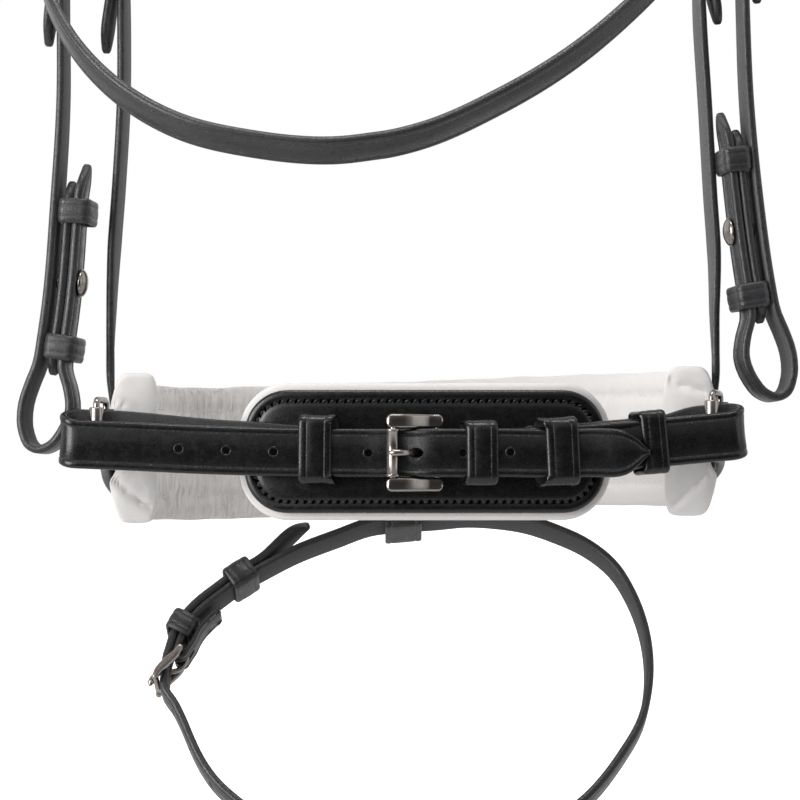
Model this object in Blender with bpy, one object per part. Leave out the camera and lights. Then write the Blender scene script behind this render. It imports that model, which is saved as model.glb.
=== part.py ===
"""Crank noseband bridle, as it hangs from a hook under its crown.

Sizes are millimetres until a mesh is made. X runs across the bridle, Y points from the jaw to the
nose, Z is up, and the origin is the underside of the crown, where the hook holds the bridle.
"""

import math

import bmesh
import bpy
from mathutils import Vector

MM = 0.001

# Leather and fit
FIT = 0.3
CURVE_ROOM = 0.45
STRAP_T = 3.5
SKIVED_T = 2.0
HANGER_FOOT_T = 1.6
CROWN_T = 4.5
STRIP_T = 3.4
BILLET_GAP = 0.8
KEEPER_T = 1.8
LOOP_T = 2.2
EDGE = 0.7

# Strap widths
CHEEK_W = 16.0
THROAT_W = 16.0
HANGER_W = 13.0
CRANK_W = 20.0
FLASH_W = 16.0
BROW_W = 17.0
SPLIT_GAP = 2.0

# Keeper bands, along the strap
SMALL_BAND = 10.5
CRANK_BAND = 13.6
RUNNER_BAND = 13.0

# Buckles
BAR_R = 1.3
BAR_DEPTH = 1.6
EYE_R = 1.0
TONGUE_R = 1.2
TONGUE_REACH = 8.8
BUCKLE_L = 14.0
CRANK_BUCKLE_L = 18.1
FLASH_BUCKLE_L = 16.0
ROLLER_R = 2.5
ROLLER_BORE_R = 1.7
ROLLER_LIP = 0.5
PLATE_T = 2.4
PLATE_W = 3.2
CRANK_PLATE_T = 3.0
CRANK_PLATE_W = 4.9
PLATE_CLEARANCE = 0.9
CHAPE_L = 18.0
KEEPER_AFTER = 9.0
FLASH_CHAPE_L = 30.0
FLASH_KEEPER = 13.0
FLASH_RUNNER = 48.0
FLASH_TIP = 87.0
LOOP_SLACK = 2.0

# Holes
HOLE_R = 1.5
HOLE_PITCH = 19.4
TONGUE_HOLE_L = 6.4
TONGUE_HOLE_W = 4.2

# Crown and upper straps, as distances along the cheek line from the middle of the crown
CROWN_END = 150.0
BROW_AT = 180.0
CHEEK_BUCKLE_Z = -203.0
HANGER_BUCKLE_Z = -198.0

# Cheekpiece foot, measured up or down from the middle of the lower keeper
KEEPER_SPACING = 57.0
KEEPER_SLACK = 2.2
UPPER_SLACK = {"left": 2.2, "right": 0.0}
STUD_UP = 27.5
TIP_UP = 77.5
STRIP_UP = 70.0
STRIP_DOWN = 12.0
LOOP_DROP = 44.0
LOOP_OUT = 4.0
LOOP_IN = 16.5
STUD_HEAD_R = 6.0
STUD_NECK_R = 2.0

# Noseband and jaw piece
NOSE_LEVEL = -439.0
NOSE_DEPTH = 106.0
NOSE_H = 46.0
NOSE_END_H = 24.4
TAB_T = 1.6
LOOP_X = 1.6
TAB_L = 14.0
HANGER_Y = 12.0
LINING_H = 60.0
LINING_T = 11.0
PAD_L = 146.0
PAD_H = 51.0
PAD_T = 4.0
PAD_CORNER = 18.0
PAD_X = 10.3
PAD_LINING_L = 152.0
PAD_LINING_H = 57.0
PAD_LINING_T = 10.0

# End rings
RING_R = 1.6
RING_H = 34.5
RING_UP = 3.0
RING_ROLLER_R = 3.0
RING_ROLLER_BORE_R = 2.0
RING_ROLLER_L = 21.0

# Flash strap plane: how far the loop leans out towards the jaw
FLASH_LEAN = math.radians(27.0)
THROAT_LEAN = math.radians(28.0)


for old in list(bpy.data.objects):
    bpy.data.objects.remove(old, do_unlink=True)


def material(name, colour, roughness, metallic=0.0):
    made = bpy.data.materials.new(name)
    made.use_nodes = True
    shader = made.node_tree.nodes["Principled BSDF"]
    shader.inputs["Base Color"].default_value = (*colour, 1.0)
    shader.inputs["Roughness"].default_value = roughness
    shader.inputs["Metallic"].default_value = metallic
    made.diffuse_color = (*colour, 1.0)
    return made


BLACK_LEATHER = material("black_leather", (0.018, 0.018, 0.02), 0.42)
WHITE_LEATHER = material("white_leather", (0.78, 0.76, 0.75), 0.6)
STEEL = material("polished_steel", (0.62, 0.61, 0.6), 0.22, 1.0)


def add_object(name, points, faces, colour, origin=(0.0, 0.0, 0.0)):
    """One object from points in millimetres, with its own origin where it pivots or slides."""
    centre = Vector(origin)
    mesh = bpy.data.meshes.new(name)
    mesh.from_pydata([(Vector(p) - centre) * MM for p in points], [], faces)
    shape = bmesh.new()
    shape.from_mesh(mesh)
    bmesh.ops.recalc_face_normals(shape, faces=shape.faces)
    shape.to_mesh(mesh)
    shape.free()
    mesh.shade_smooth()
    mesh.set_sharp_from_angle(angle=math.radians(38))
    mesh.materials.append(colour)
    made = bpy.data.objects.new(name, mesh)
    made.location = centre * MM
    bpy.context.scene.collection.objects.link(made)
    return made


def join_in(body, other, operation):
    """A Boolean with a helper that is left out of renders."""
    other.hide_render = True
    other.display_type = "WIRE"
    step = body.modifiers.new(other.name, "BOOLEAN")
    step.operation = operation
    step.solver = "EXACT"
    step.object = other
    return body


# Curves


def ease(share):
    return share * share * (3.0 - 2.0 * share)


def smooth(points, spacing=3.0):
    """Points on one smooth curve through the given points."""
    spots = [Vector(p) for p in points]
    spans = [(b - a).length for a, b in zip(spots, spots[1:])]
    slopes = [(spots[1] - spots[0]) / spans[0]]
    for i in range(1, len(spots) - 1):
        before = (spots[i] - spots[i - 1]) / spans[i - 1]
        after = (spots[i + 1] - spots[i]) / spans[i]
        slopes.append((before * spans[i] + after * spans[i - 1]) / (spans[i] + spans[i - 1]))
    slopes.append((spots[-1] - spots[-2]) / spans[-1])
    curve = [spots[0]]
    for i, span in enumerate(spans):
        count = max(2, math.ceil(span / spacing))
        for k in range(1, count + 1):
            u = k / count
            start = (2 * u**3 - 3 * u**2 + 1) * spots[i] + (u**3 - 2 * u**2 + u) * span * slopes[i]
            end = (3 * u**2 - 2 * u**3) * spots[i + 1] + (u**3 - u**2) * span * slopes[i + 1]
            curve.append(start + end)
    return curve


class Line:
    """A smooth line that straps and fittings are placed along.

    A place is given by s, the distance along the line, n, the offset out of the strap's face, and
    w, the offset across the strap. A strap's width lies along `across`, which may turn from one
    vector to the next down a list of them.
    """

    def __init__(self, points, across, side=1.0):
        self.curve = smooth(points)
        self.side = side
        self.far = [0.0]
        for a, b in zip(self.curve, self.curve[1:]):
            self.far.append(self.far[-1] + (b - a).length)
        turns = [Vector(v).normalized() for v in across]
        self.across = turns if len(turns) > 1 else turns * 2

    def frame(self, s):
        """The place on the line, and its directions along, outward and across."""
        i = 0
        while i < len(self.far) - 2 and self.far[i + 1] < s:
            i += 1
        share = (s - self.far[i]) / (self.far[i + 1] - self.far[i])
        place = self.curve[i].lerp(self.curve[i + 1], share)
        here = self.slope(i).lerp(self.slope(i + 1), min(max(share, 0.0), 1.0)).normalized()
        turn = min(max(s / self.far[-1], 0.0), 1.0) * (len(self.across) - 1)
        k = min(int(turn), len(self.across) - 2)
        wide = self.across[k].lerp(self.across[k + 1], turn - k)
        wide = (wide - here * here.dot(wide)).normalized()
        return place, here, here.cross(wide) * self.side, wide

    def slope(self, i):
        a = self.curve[max(i - 1, 0)]
        b = self.curve[min(i + 1, len(self.curve) - 1)]
        return (b - a).normalized()

    def point(self, s, n=0.0, w=0.0):
        place, _, out, wide = self.frame(s)
        return place + out * n + wide * w

    def find(self, axis, value, after=0.0):
        """The first distance at which the line's x, y or z passes the value, past its end if need be."""
        for i in range(len(self.curve) - 1):
            a, b = self.curve[i][axis], self.curve[i + 1][axis]
            if self.far[i + 1] > after and (a - value) * (b - value) <= 0.0 and a != b:
                return self.far[i] + (self.far[i + 1] - self.far[i]) * (value - a) / (b - a)
        a, b = self.curve[-2][axis], self.curve[-1][axis]
        if a == b:
            raise ValueError("the line doesn't pass that value")
        return self.far[-1] + (self.far[-1] - self.far[-2]) * (value - b) / (b - a)


def run(line, stations, step=3.0):
    """Samples of a strap through stations (s, n, thickness, w), easing from one to the next."""
    stops = [(*station, 0.0)[:4] for station in stations]
    samples = []
    for (s0, n0, t0, w0), (s1, n1, t1, w1) in zip(stops, stops[1:]):
        count = max(1, math.ceil(abs(s1 - s0) / step))
        for k in range(count):
            u = k / count
            bend = ease(u)
            s = s0 + (s1 - s0) * u
            place = line.point(s, n0 + (n1 - n0) * bend, w0 + (w1 - w0) * bend)
            samples.append((place, line.frame(s)[3], t0 + (t1 - t0) * bend))
    s, n, t, w = stops[-1]
    samples.append((line.point(s, n, w), line.frame(s)[3], t))
    return samples


def fold(line, s, n_from, n_to, thickness, reach, steps=6, w_from=0.0, w_to=0.0):
    """Samples of a half-circle fold from one offset to another, bulging along the line."""
    _, along, out, wide = line.frame(s)
    middle = (n_from + n_to) / 2
    radius = (n_from - n_to) / 2
    samples = []
    for k in range(1, steps):
        angle = math.pi * k / steps
        across = w_from + (w_to - w_from) * ease(k / steps)
        place = line.point(s, middle, across) + along * (reach * abs(radius) * math.sin(angle))
        samples.append((place + out * (radius * math.cos(angle)), wide, thickness))
    return samples


# Straps


def plain_section(half, thick):
    """Strap cross-section with its edges bevelled, as (across, out) pairs."""
    cut = min(EDGE, half * 0.5)
    h, t = half, thick / 2
    return [(h - cut, -t), (h, 0.0), (h - cut, t), (cut - h, t), (-h, 0.0), (cut - h, -t)]


def padded_section(half, thick):
    """Cushion cross-section: flat against its leather and crowned on the other face."""
    shares = [(0.95, 0.5), (1.0, 0.12), (0.93, -0.34), (0.5, -0.5)]
    right = [(a * half, b * thick) for a, b in shares]
    return right + [(-a, b) for a, b in reversed(right)]


def pointed(width, length):
    """Half-width near a strap's end that is cut to a blunt gothic point."""
    return length, lambda d: width / 2 * max(0.14, 1 - (1 - min(d / length, 1)) ** 1.8)


def rounded_end(width, radius):
    """Half-width near an end with rounded corners."""
    def half(d):
        return width / 2 - radius + math.sqrt(max(0.0, radius**2 - max(0.0, radius - d) ** 2))
    return radius, half


def tapered(width, end_width, length):
    """Half-width that eases from a narrow end to the full width."""
    return length, lambda d: (end_width + (width - end_width) * ease(min(d / length, 1))) / 2


def strap(name, samples, width, colour=BLACK_LEATHER, start=None, end=None,
          section=plain_section, turn=31.0, sag=0.23, flip=1.0, tip_steps=5):
    """A strap swept along its samples, with rings only as close as its bends ask for."""
    places = [p for p, _, _ in samples]
    far = [0.0]
    for a, b in zip(places, places[1:]):
        far.append(far[-1] + (b - a).length)
    count = len(samples)
    slopes = [(places[min(i + 1, count - 1)] - places[max(i - 1, 0)]).normalized()
              for i in range(count)]
    kept = [0.0]
    turned, last = 0.0, 0
    for i in range(1, count):
        bend = slopes[i].angle(slopes[i - 1]) + samples[i][1].angle(samples[i - 1][1])
        bend += 0.2 * abs(samples[i][2] - samples[i - 1][2])
        turned += bend
        too_far = turned >= math.radians(turn) or (far[i] - far[last]) * turned / 8 >= sag
        if too_far and i - 1 > last:
            kept.append(far[i - 1])
            turned, last = bend, i - 1
    marks = []
    for shape, flipped in ((start, False), (end, True)):
        if shape:
            steps = [shape[0] * (1 - math.cos(k * math.pi / 2 / tip_steps)) for k in range(1, tip_steps + 1)]
            marks += [far[-1] - d if flipped else d for d in steps]
    inside = [d for d in kept if all(abs(d - m) > 0.5 for m in marks)]
    stops = sorted({0.0, far[-1], *marks, *[d for d in inside if d < far[-1] - 1.2]})
    rings, i = [], 0
    for d in stops:
        while i < count - 2 and far[i + 1] < d:
            i += 1
        share = (d - far[i]) / (far[i + 1] - far[i])
        place = places[i].lerp(places[i + 1], share)
        along = slopes[i].lerp(slopes[i + 1], share).normalized()
        wide = samples[i][1].lerp(samples[i + 1][1], share)
        wide = (wide - along * along.dot(wide)).normalized()
        thick = samples[i][2] + (samples[i + 1][2] - samples[i][2]) * share
        half = min([width / 2] + [shape[1](far[-1] - d if flipped else d)
                                  for shape, flipped in ((start, False), (end, True)) if shape])
        out = along.cross(wide) * flip
        rings.append([place + wide * a + out * b for a, b in section(half, thick)])
    return skin(name, rings, colour)


def skin(name, rings, colour, closed=False, origin=(0.0, 0.0, 0.0)):
    """One body through a row of rings, capped at both ends or closed on itself."""
    sides = len(rings[0])
    points = [p for ring in rings for p in ring]
    faces = []
    for i in range(len(rings) if closed else len(rings) - 1):
        a, b = i * sides, ((i + 1) % len(rings)) * sides
        for k in range(sides):
            j = (k + 1) % sides
            faces.append((a + k, a + j, b + j, b + k))
    if not closed:
        faces.append(tuple(range(sides)))
        faces.append(tuple(range((len(rings) - 1) * sides, len(rings) * sides)))
    return add_object(name, points, faces, colour, origin)


def keeper(name, line, s, n_low, n_high, width, band, moves=False, lean=0.0, shift=0.0):
    """A leather band round a stack of straps between two offsets; its front may lean along them."""
    place, along, out, wide = line.frame(s)
    place = place + wide * shift
    middle = (n_low + n_high) / 2
    half_w = width / 2 + FIT + KEEPER_T / 2
    half_n = (n_high - n_low) / 2 + FIT + KEEPER_T / 2
    corner = KEEPER_T / 2 + 0.6
    rings = []
    for quarter in range(4):
        turn_w = (1, -1, -1, 1)[quarter] * (half_w - corner)
        turn_n = (1, 1, -1, -1)[quarter] * (half_n - corner)
        for k in (0, 1):
            angle = math.radians(90 * quarter + 90 * k)
            toward = wide * math.cos(angle) + out * math.sin(angle)
            forward = lean * (turn_n + corner * math.sin(angle)) / (2 * half_n)
            centre = place + out * (middle + turn_n) + wide * turn_w + toward * corner + along * forward
            t, b, cut = KEEPER_T / 2, band / 2, 0.5
            rings.append([centre + along * a + toward * c for a, c in
                          ((-b, -t), (b, -t), (b, t - cut), (b - cut, t), (cut - b, t), (-b, t - cut))])
    origin = place + out * middle if moves else (0.0, 0.0, 0.0)
    return skin(name, rings, BLACK_LEATHER, closed=True, origin=origin)


# Turned and drawn metal


def tube(name, points, radii, sides=8, colour=STEEL, origin=(0.0, 0.0, 0.0), guide=(0, 0, 1)):
    """A round bar drawn through points, with capped ends."""
    rings = []
    for i, place in enumerate(points):
        a = points[max(i - 1, 0)]
        b = points[min(i + 1, len(points) - 1)]
        along = (b - a).normalized()
        side = (Vector(guide) - along * along.dot(Vector(guide))).normalized()
        up = along.cross(side)
        ring = []
        for k in range(sides):
            angle = 2 * math.pi * (k + 0.5) / sides
            ring.append(place + (side * math.cos(angle) + up * math.sin(angle)) * radii[i])
        rings.append(ring)
    return skin(name, rings, colour, origin=origin)


def turned(name, profile, place, axis, sides=14, colour=STEEL, bored=False):
    """A turned piece from (radius, height) pairs, solid or with a bore."""
    up = Vector(axis).normalized()
    side = up.orthogonal().normalized()
    back = up.cross(side)
    rings = []
    for radius, height in profile:
        ring = []
        for k in range(sides):
            angle = 2 * math.pi * k / sides
            spoke = side * math.cos(angle) + back * math.sin(angle)
            ring.append(Vector(place) + up * height + spoke * radius)
        rings.append(ring)
    return skin(name, rings, colour, closed=bored, origin=place)


def tongue_path(length, front_r):
    """The tongue as (s, n) pairs from the heel bar: an eye, a step up through the hole, the tip."""
    eye = BAR_R + FIT + EYE_R
    tip_n = front_offset(front_r) + front_r + FIT + TONGUE_R * 1.25
    through_n = BAR_DEPTH + (rest_n(0.0) + rest_n(1.0)) / 2
    rise = tip_n - through_n
    reach = length - TONGUE_REACH
    path = []
    for k in range(6):
        angle = math.radians(150 - 48.0 * k)
        path.append((eye * math.cos(angle), eye * math.sin(angle), EYE_R))
    path.append((-3.6, -eye * 0.92, EYE_R))
    path.append((-6.3, -eye * 0.38, TONGUE_R))
    path.append((-8.0, through_n - 2.6, TONGUE_R))
    path.append((-TONGUE_REACH - 0.1, through_n + 0.3, TONGUE_R))
    path.append((-TONGUE_REACH - reach * 0.3, through_n + rise * 0.66, TONGUE_R))
    path.append((-TONGUE_REACH - reach * 0.68, through_n + rise * 0.97, TONGUE_R * 1.15))
    path.append((-length + 0.4, tip_n, TONGUE_R * 1.25))
    path.append((-length - 1.1, tip_n, TONGUE_R * 0.7))
    return path


def rest_n(share):
    """Offset of a billet in its buckle, from the front bar (0) to over the heel bar (1)."""
    over = -BAR_DEPTH + BAR_R + FIT + SKIVED_T + FIT + STRAP_T / 2
    under = over - 2.85
    return under + (over - under) * ease(share)


def front_offset(front_r):
    """How far out the front bar's centre lies from the heel bar's centre."""
    return BAR_DEPTH + rest_n(0.0) + STRAP_T / 2 + FIT + front_r


def buckle(names, line, s, width, length=BUCKLE_L, roller=False):
    """Frame, tongue and, on the crank strap, roller. The heel bar lies at distance s."""
    place, along, out, wide = line.frame(s)
    heel = place - out * BAR_DEPTH
    front_r = ROLLER_R + ROLLER_LIP if roller else BAR_R
    plate_t, plate_w = (CRANK_PLATE_T, CRANK_PLATE_W) if roller else (PLATE_T, PLATE_W)
    rise = front_offset(front_r)

    def at(ds, dn, dw=0.0):
        return heel + along * ds + out * dn + wide * dw

    inner = width / 2 + PLATE_CLEARANCE
    profile = [(plate_w * 0.52, -0.1), (-length * 0.14, rise * 0.09), (-length * 0.5, rise * 0.56),
               (-length * 0.84, rise * 0.95), (-length - plate_w * 0.56, rise)]
    sides = []
    for sign in (1, -1):
        spine = smooth([at(ds, dn, sign * (inner + plate_w / 2)) for ds, dn in profile], 1.5)
        plate = [(p, wide, plate_t) for p in spine]
        corner = rounded_end(plate_w, plate_w * 0.38)
        sides.append(strap(names[0] + "_side" + str(sign), plate, plate_w, STEEL,
                           start=corner, end=corner, tip_steps=2))
    bar_half = inner + plate_w * 0.45
    frame = sides[0]
    frame.name = names[0]
    join_in(frame, sides[1], "UNION")
    for label, ds, dn in (("_heel", 0.0, 0.0), ("_front", -length, rise)):
        bar = [at(ds, dn, -bar_half), at(ds, dn, bar_half)]
        join_in(frame, tube(names[0] + label, bar, [BAR_R, BAR_R], 8, guide=out), "UNION")

    path = tongue_path(length, front_r)
    points = [at(ds, dn) for ds, dn, _ in path]
    tube(names[1], points, [r for _, _, r in path], 6, origin=heel, guide=wide)
    if roller:
        half = inner - FIT
        lip = ROLLER_R + ROLLER_LIP
        wall = [(ROLLER_BORE_R, -half), (lip, -half), (lip, 0.8 - half), (ROLLER_R, 1.3 - half),
                (ROLLER_R, half - 1.3), (lip, half - 0.8), (lip, half), (ROLLER_BORE_R, half)]
        turned(names[2], wall, at(-length, rise), wide, 16, bored=True)


def chape(line, s, length=CHAPE_L, under=0.0):
    """Samples of a strap's end folded round a buckle's heel bar: the sewn tail, then the fold."""
    low = -BAR_DEPTH - BAR_R - FIT - SKIVED_T / 2
    high = -BAR_DEPTH + BAR_R + FIT + SKIVED_T / 2
    tail = -STRAP_T / 2 - FIT - SKIVED_T / 2 - under
    samples = run(line, [(s + length, tail, SKIVED_T), (s + 7.0, tail, SKIVED_T), (s, low, SKIVED_T)])
    return samples + fold(line, s, low, high, SKIVED_T, -1.0) + run(
        line, [(s, high, SKIVED_T), (s + 7.0, 0.0, STRAP_T)])


def billet(s, tip_s, length=BUCKLE_L, lift=2.5):
    """Stations of a billet past its buckle's front bar, heel bar and keeper, out to its tip."""
    top = STRAP_T + FIT
    stations = [(s - length - 14.0, 0.0, STRAP_T), (s - length, rest_n(0.0), STRAP_T)]
    stations += [(s - length * 0.82, rest_n(0.0), STRAP_T), (s - 1.0, rest_n(1.0), STRAP_T)]
    stations += [(s + 2.0, rest_n(1.0), STRAP_T), (s + 14.0, top, STRAP_T)]
    stations.append((s + CHAPE_L + KEEPER_AFTER + SMALL_BAND / 2 + 1.0, top, STRAP_T))
    return stations + [(tip_s, top + lift, STRAP_T)]


def slot(body, line, s):
    """The notch in a chape's fold that the tongue's eye turns in."""
    place, along, out, wide = line.frame(s)
    half = EYE_R + 0.7
    corners = [place + along * a + out * b + wide * c
               for a in (-6.0, 4.6) for b in (-8.0, 3.0) for c in (-half, half)]
    cutter = add_object(body.name + "_slot", corners, BOX_FACES, STEEL)
    return join_in(body, cutter, "DIFFERENCE")


BOX_FACES = [(0, 1, 3, 2), (4, 6, 7, 5), (0, 4, 5, 1), (2, 3, 7, 6), (0, 2, 6, 4), (1, 5, 7, 3)]


def punch(body, label, line, s, n, half_long, half_wide, depth=4.0):
    """A round or oval hole through a strap."""
    place, along, out, wide = line.frame(s)
    centre = place + out * n
    rings = []
    for reach in (-depth, depth):
        ring = []
        for k in range(10):
            angle = 2 * math.pi * k / 10
            round_it = wide * (half_wide * math.sin(angle)) + along * (half_long * math.cos(angle))
            ring.append(centre + out * reach + round_it)
        rings.append(ring)
    return join_in(body, skin(body.name + label, rings, STEEL), "DIFFERENCE")


def tongue_hole(body, line, s, label="_tongue_hole"):
    """The oval hole that the tongue has drawn out in the billet."""
    at = s - TONGUE_REACH
    middle = (rest_n(0.0) + rest_n(1.0)) / 2
    return punch(body, label, line, at, middle, TONGUE_HOLE_L / 2, TONGUE_HOLE_W / 2)


# The lines that everything hangs on

REAR = -(CHEEK_W + THROAT_W) / 2 - SPLIT_GAP

TOP_Z = STRAP_T + FIT + CROWN_T / 2
ARCH = [(0.0, TOP_Z), (8.0, TOP_Z - 0.2), (22.0, TOP_Z - 1.6), (42.0, TOP_Z - 5.9), (78.0, -16.5), (108.0, -46.0),
        (126.5, -84.0), (136.0, -125.0)]
CHEEK_FOOT = {
    "left": [(-140.5, -165.0), (-141.8, -190.0), (-142.3, -215.0), (-142.4, -250.0),
             (-142.4, -293.0), (-144.8, -335.0), (-148.2, -378.0), (-151.6, -402.0)],
    "right": [(141.0, -165.0), (142.8, -190.0), (144.0, -215.0), (144.9, -250.0),
              (146.6, -293.0), (150.5, -335.0), (154.0, -362.0), (157.4, -382.0)],
}
LOWER_KEEPER_Z = {"left": -395.5, "right": -373.5}
CHEEK_TURN = {"left": 7.5, "right": -9.0}
SIGN = {"left": -1.0, "right": 1.0}


def cheek_line(side):
    sign = SIGN[side]
    points = [(sign * x, 0.0, z) for x, z in ARCH]
    points += [(x, 0.0, z) for x, z in CHEEK_FOOT[side]]
    turn = math.radians(CHEEK_TURN[side])
    level = (0.0, 1.0, 0.0)
    return Line(points, [level, level, (math.sin(turn), math.cos(turn), 0.0)], sign)


CHEEK = {side: cheek_line(side) for side in SIGN}

NOSE_PLAN = [(-123.0, -12.0, 0.2), (-124.8, 2.0, 0.0), (-126.6, 16.0, -0.3), (-127.4, 30.0, -0.7),
             (-121.0, 57.0, -1.4), (-99.0, 84.0, -2.0), (-52.0, 101.0, -0.6), (5.5, 106.0, 1.4),
             (63.0, 101.0, 3.6), (110.0, 84.0, 4.7), (132.0, 57.0, 4.4), (138.6, 30.0, 3.7),
             (137.8, 16.0, 3.4), (136.0, 2.0, 3.1), (134.0, -12.0, 2.9)]
NOSE = Line([(x, y * NOSE_DEPTH / 106.0, NOSE_LEVEL + up) for x, y, up in NOSE_PLAN], [(0.0, 0.0, 1.0)], -1.0)
TAIL_N = -STRAP_T / 2 - FIT - SKIVED_T / 2
HANGER_AT = {"left": NOSE.find(1, HANGER_Y), "right": NOSE.find(1, HANGER_Y, after=NOSE.far[-1] / 2)}

HANGER_LOW = {
    "left": [(-123.6, 9.0, -130.0), (-120.6, 12.0, -160.0), (-119.0, 12.0, -185.0), (-118.4, 12.0, -212.0),
             (-118.0, 12.0, -250.0), (-118.2, 12.0, -292.0), (-120.1, 12.0, -326.0),
             (-122.4, 12.0, -358.0), (-123.4, 12.0, -384.0)],
    "right": [(126.5, 9.0, -130.0), (126.6, 12.0, -160.0), (126.9, 12.0, -185.0), (127.3, 12.0, -212.0),
              (127.9, 12.0, -250.0), (130.4, 12.0, -292.0), (132.6, 12.0, -330.0),
              (134.4, 12.0, -358.0), (134.4, 12.0, -384.0)],
}


def hanger_line(side):
    """The noseband's carrying strap: under the crown, then clear of the cheek, down to the noseband."""
    under = -(CROWN_T / 2 + FIT + STRAP_T / 2)
    last = BROW_AT + 8.0
    points = []
    for s in (0.0, 15.0, 30.0, 45.0, 60.0, 75.0, 90.0, 105.0, 120.0, 135.0, 150.0, 165.0, last):
        points.append(CHEEK[side].point(s, under, REAR / 2 + 11.0 * ease(max(0.0, s - 60.0) / (last - 60.0))))
    sewn = NOSE.point(HANGER_AT[side], TAIL_N)
    points += HANGER_LOW[side] + [(sewn.x, sewn.y, NOSE_LEVEL + up) for up in (31.0, 9.0, -9.0)]
    level = (0.0, 1.0, 0.0)
    flat = NOSE.frame(HANGER_AT[side])[1] * -SIGN[side]
    return Line(points, [level] * 9 + [flat] * 3, SIGN[side])


HANGER = {side: hanger_line(side) for side in SIGN}

def throat_place(x, down):
    """A point on the plane that the throatlash hangs in."""
    return (x, -30.0 - down * math.sin(THROAT_LEAN), -195.0 - down * math.cos(THROAT_LEAN))


THROAT_LOW = {
    "left": [(-145.5, -20.5, -150.0), (-153.6, -22.0, -172.0), throat_place(-157.4, -4.0),
             throat_place(-155.3, 8.0), throat_place(-153.2, 20.0), throat_place(-151.1, 32.0),
             throat_place(-145.0, 58.0), throat_place(-137.0, 81.0), throat_place(-126.0, 101.0),
             throat_place(-107.0, 122.0), throat_place(-85.0, 136.0), throat_place(-57.0, 144.0),
             throat_place(-25.0, 147.0), throat_place(-5.0, 144.2)],
    "right": [(147.0, -19.0, -138.0), (151.5, -21.0, -166.0), throat_place(148.5, -10.0),
              throat_place(142.3, 1.0), throat_place(136.1, 12.0), throat_place(129.9, 23.0),
              throat_place(121.0, 38.8), throat_place(106.0, 62.0), throat_place(90.0, 81.0),
              throat_place(67.0, 103.5), throat_place(38.7, 124.0), throat_place(7.7, 140.4),
              throat_place(-5.0, 144.2), throat_place(-25.0, 147.0)],
}


def throat_line(side):
    points = [CHEEK[side].point(s, 0.0, REAR) for s in (CROWN_END - 15, CROWN_END, 165.0, BROW_AT, 195.0)]
    level = (0.0, 1.0, 0.0)
    leaned = (0.0, math.cos(THROAT_LEAN), -math.sin(THROAT_LEAN))
    return Line(points + THROAT_LOW[side], [level, level, leaned, leaned, leaned, leaned], SIGN[side])


THROAT = {side: throat_line(side) for side in SIGN}

JAW_Y = -35.0
JAW_PLAN = [(-150.0, 2.0), (-118.0, 0.8), (-84.0, -0.8), (-40.0, -2.0), (-12.0, -2.2), (10.0, -2.2), (38.0, -2.1),
            (72.0, -0.8), (100.0, 1.4), (128.0, 4.0), (152.0, 6.0)]
JAW = Line([(x, JAW_Y, NOSE_LEVEL + up) for x, up in JAW_PLAN], [(0.0, 0.0, 1.0)], 1.0)

FLASH_Y = NOSE_DEPTH + 5.2
FLASH_Z = NOSE_LEVEL - 37.0


def flash_place(x, down):
    """A point on the leaning plane of the flash strap."""
    return (x, FLASH_Y - down * math.sin(FLASH_LEAN), FLASH_Z - down * math.cos(FLASH_LEAN))


FLASH_TURN = [(-100.8, 88.8), (-105.0, 79.8), (-104.0, 72.2), (-100.6, 63.6), (-99.0, 56.8), (-96.4, 50.4),
              (-90.6, 42.8), (-81.6, 34.8), (-72.6, 27.4), (-62.4, 21.0), (-48.9, 13.2), (-28.3, 4.3),
              (-14.0, -1.4), (1.6, -3.4), (17.0, -4.6), (31.0, -6.0), (45.0, -5.2), (58.0, -3.0),
              (71.8, 2.0), (87.3, 10.2), (98.4, 20.6), (105.5, 33.6), (110.3, 48.2), (112.6, 66.0),
              (111.9, 79.5), (107.4, 97.4), (98.8, 112.4), (82.0, 133.4), (51.0, 153.0), (14.0, 163.0),
              (-20.0, 160.0), (-50.0, 149.0), (-72.2, 134.5), (-82.4, 124.5), (-88.4, 115.5),
              (-92.6, 107.0), (-96.6, 97.6)]
FLASH_HEEL = 3
FLASH_AGAIN = 14
FLASH = Line([flash_place(x, d) for x, d in FLASH_TURN + FLASH_TURN[:round(FLASH_AGAIN)]],
             [(0.0, math.cos(FLASH_LEAN), -math.sin(FLASH_LEAN))], 1.0)


# Headpiece, browband and the strap that carries the noseband


def headpiece():
    middle, outer = (0.0, 0.0, CROWN_T, REAR / 2), (CROWN_END, 0.0, CROWN_T, REAR / 2)
    left = run(CHEEK["left"], [outer, middle])
    right = run(CHEEK["right"], [middle, outer])
    width = CHEEK_W + SPLIT_GAP + THROAT_W
    corner = rounded_end(width, 4.0)
    body = strap("headpiece", left[:-1] + right[1:], width, start=corner, end=corner)
    root = CROWN_END - 14.0
    for side, tips in (("left", (66.0, 52.0)), ("right", (48.0, 46.0))):
        cheek_s = CHEEK[side].find(2, CHEEK_BUCKLE_Z)
        throat_s = THROAT_BUCKLE[side]
        stations = [(root, 0.0, STRAP_T)] + billet(cheek_s, cheek_s + tips[0])
        arm = strap("headpiece_cheek_" + side, run(CHEEK[side], stations), CHEEK_W,
                    end=pointed(CHEEK_W, 15.0))
        tongue_hole(arm, CHEEK[side], cheek_s)
        join_in(body, arm, "UNION")
        stations = [(0.5, 0.0, STRAP_T)] + billet(throat_s, throat_s + tips[1])
        arm = strap("headpiece_throat_" + side, run(THROAT[side], stations), THROAT_W,
                    end=pointed(THROAT_W, 15.0))
        tongue_hole(arm, THROAT[side], throat_s)
        join_in(body, arm, "UNION")


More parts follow.
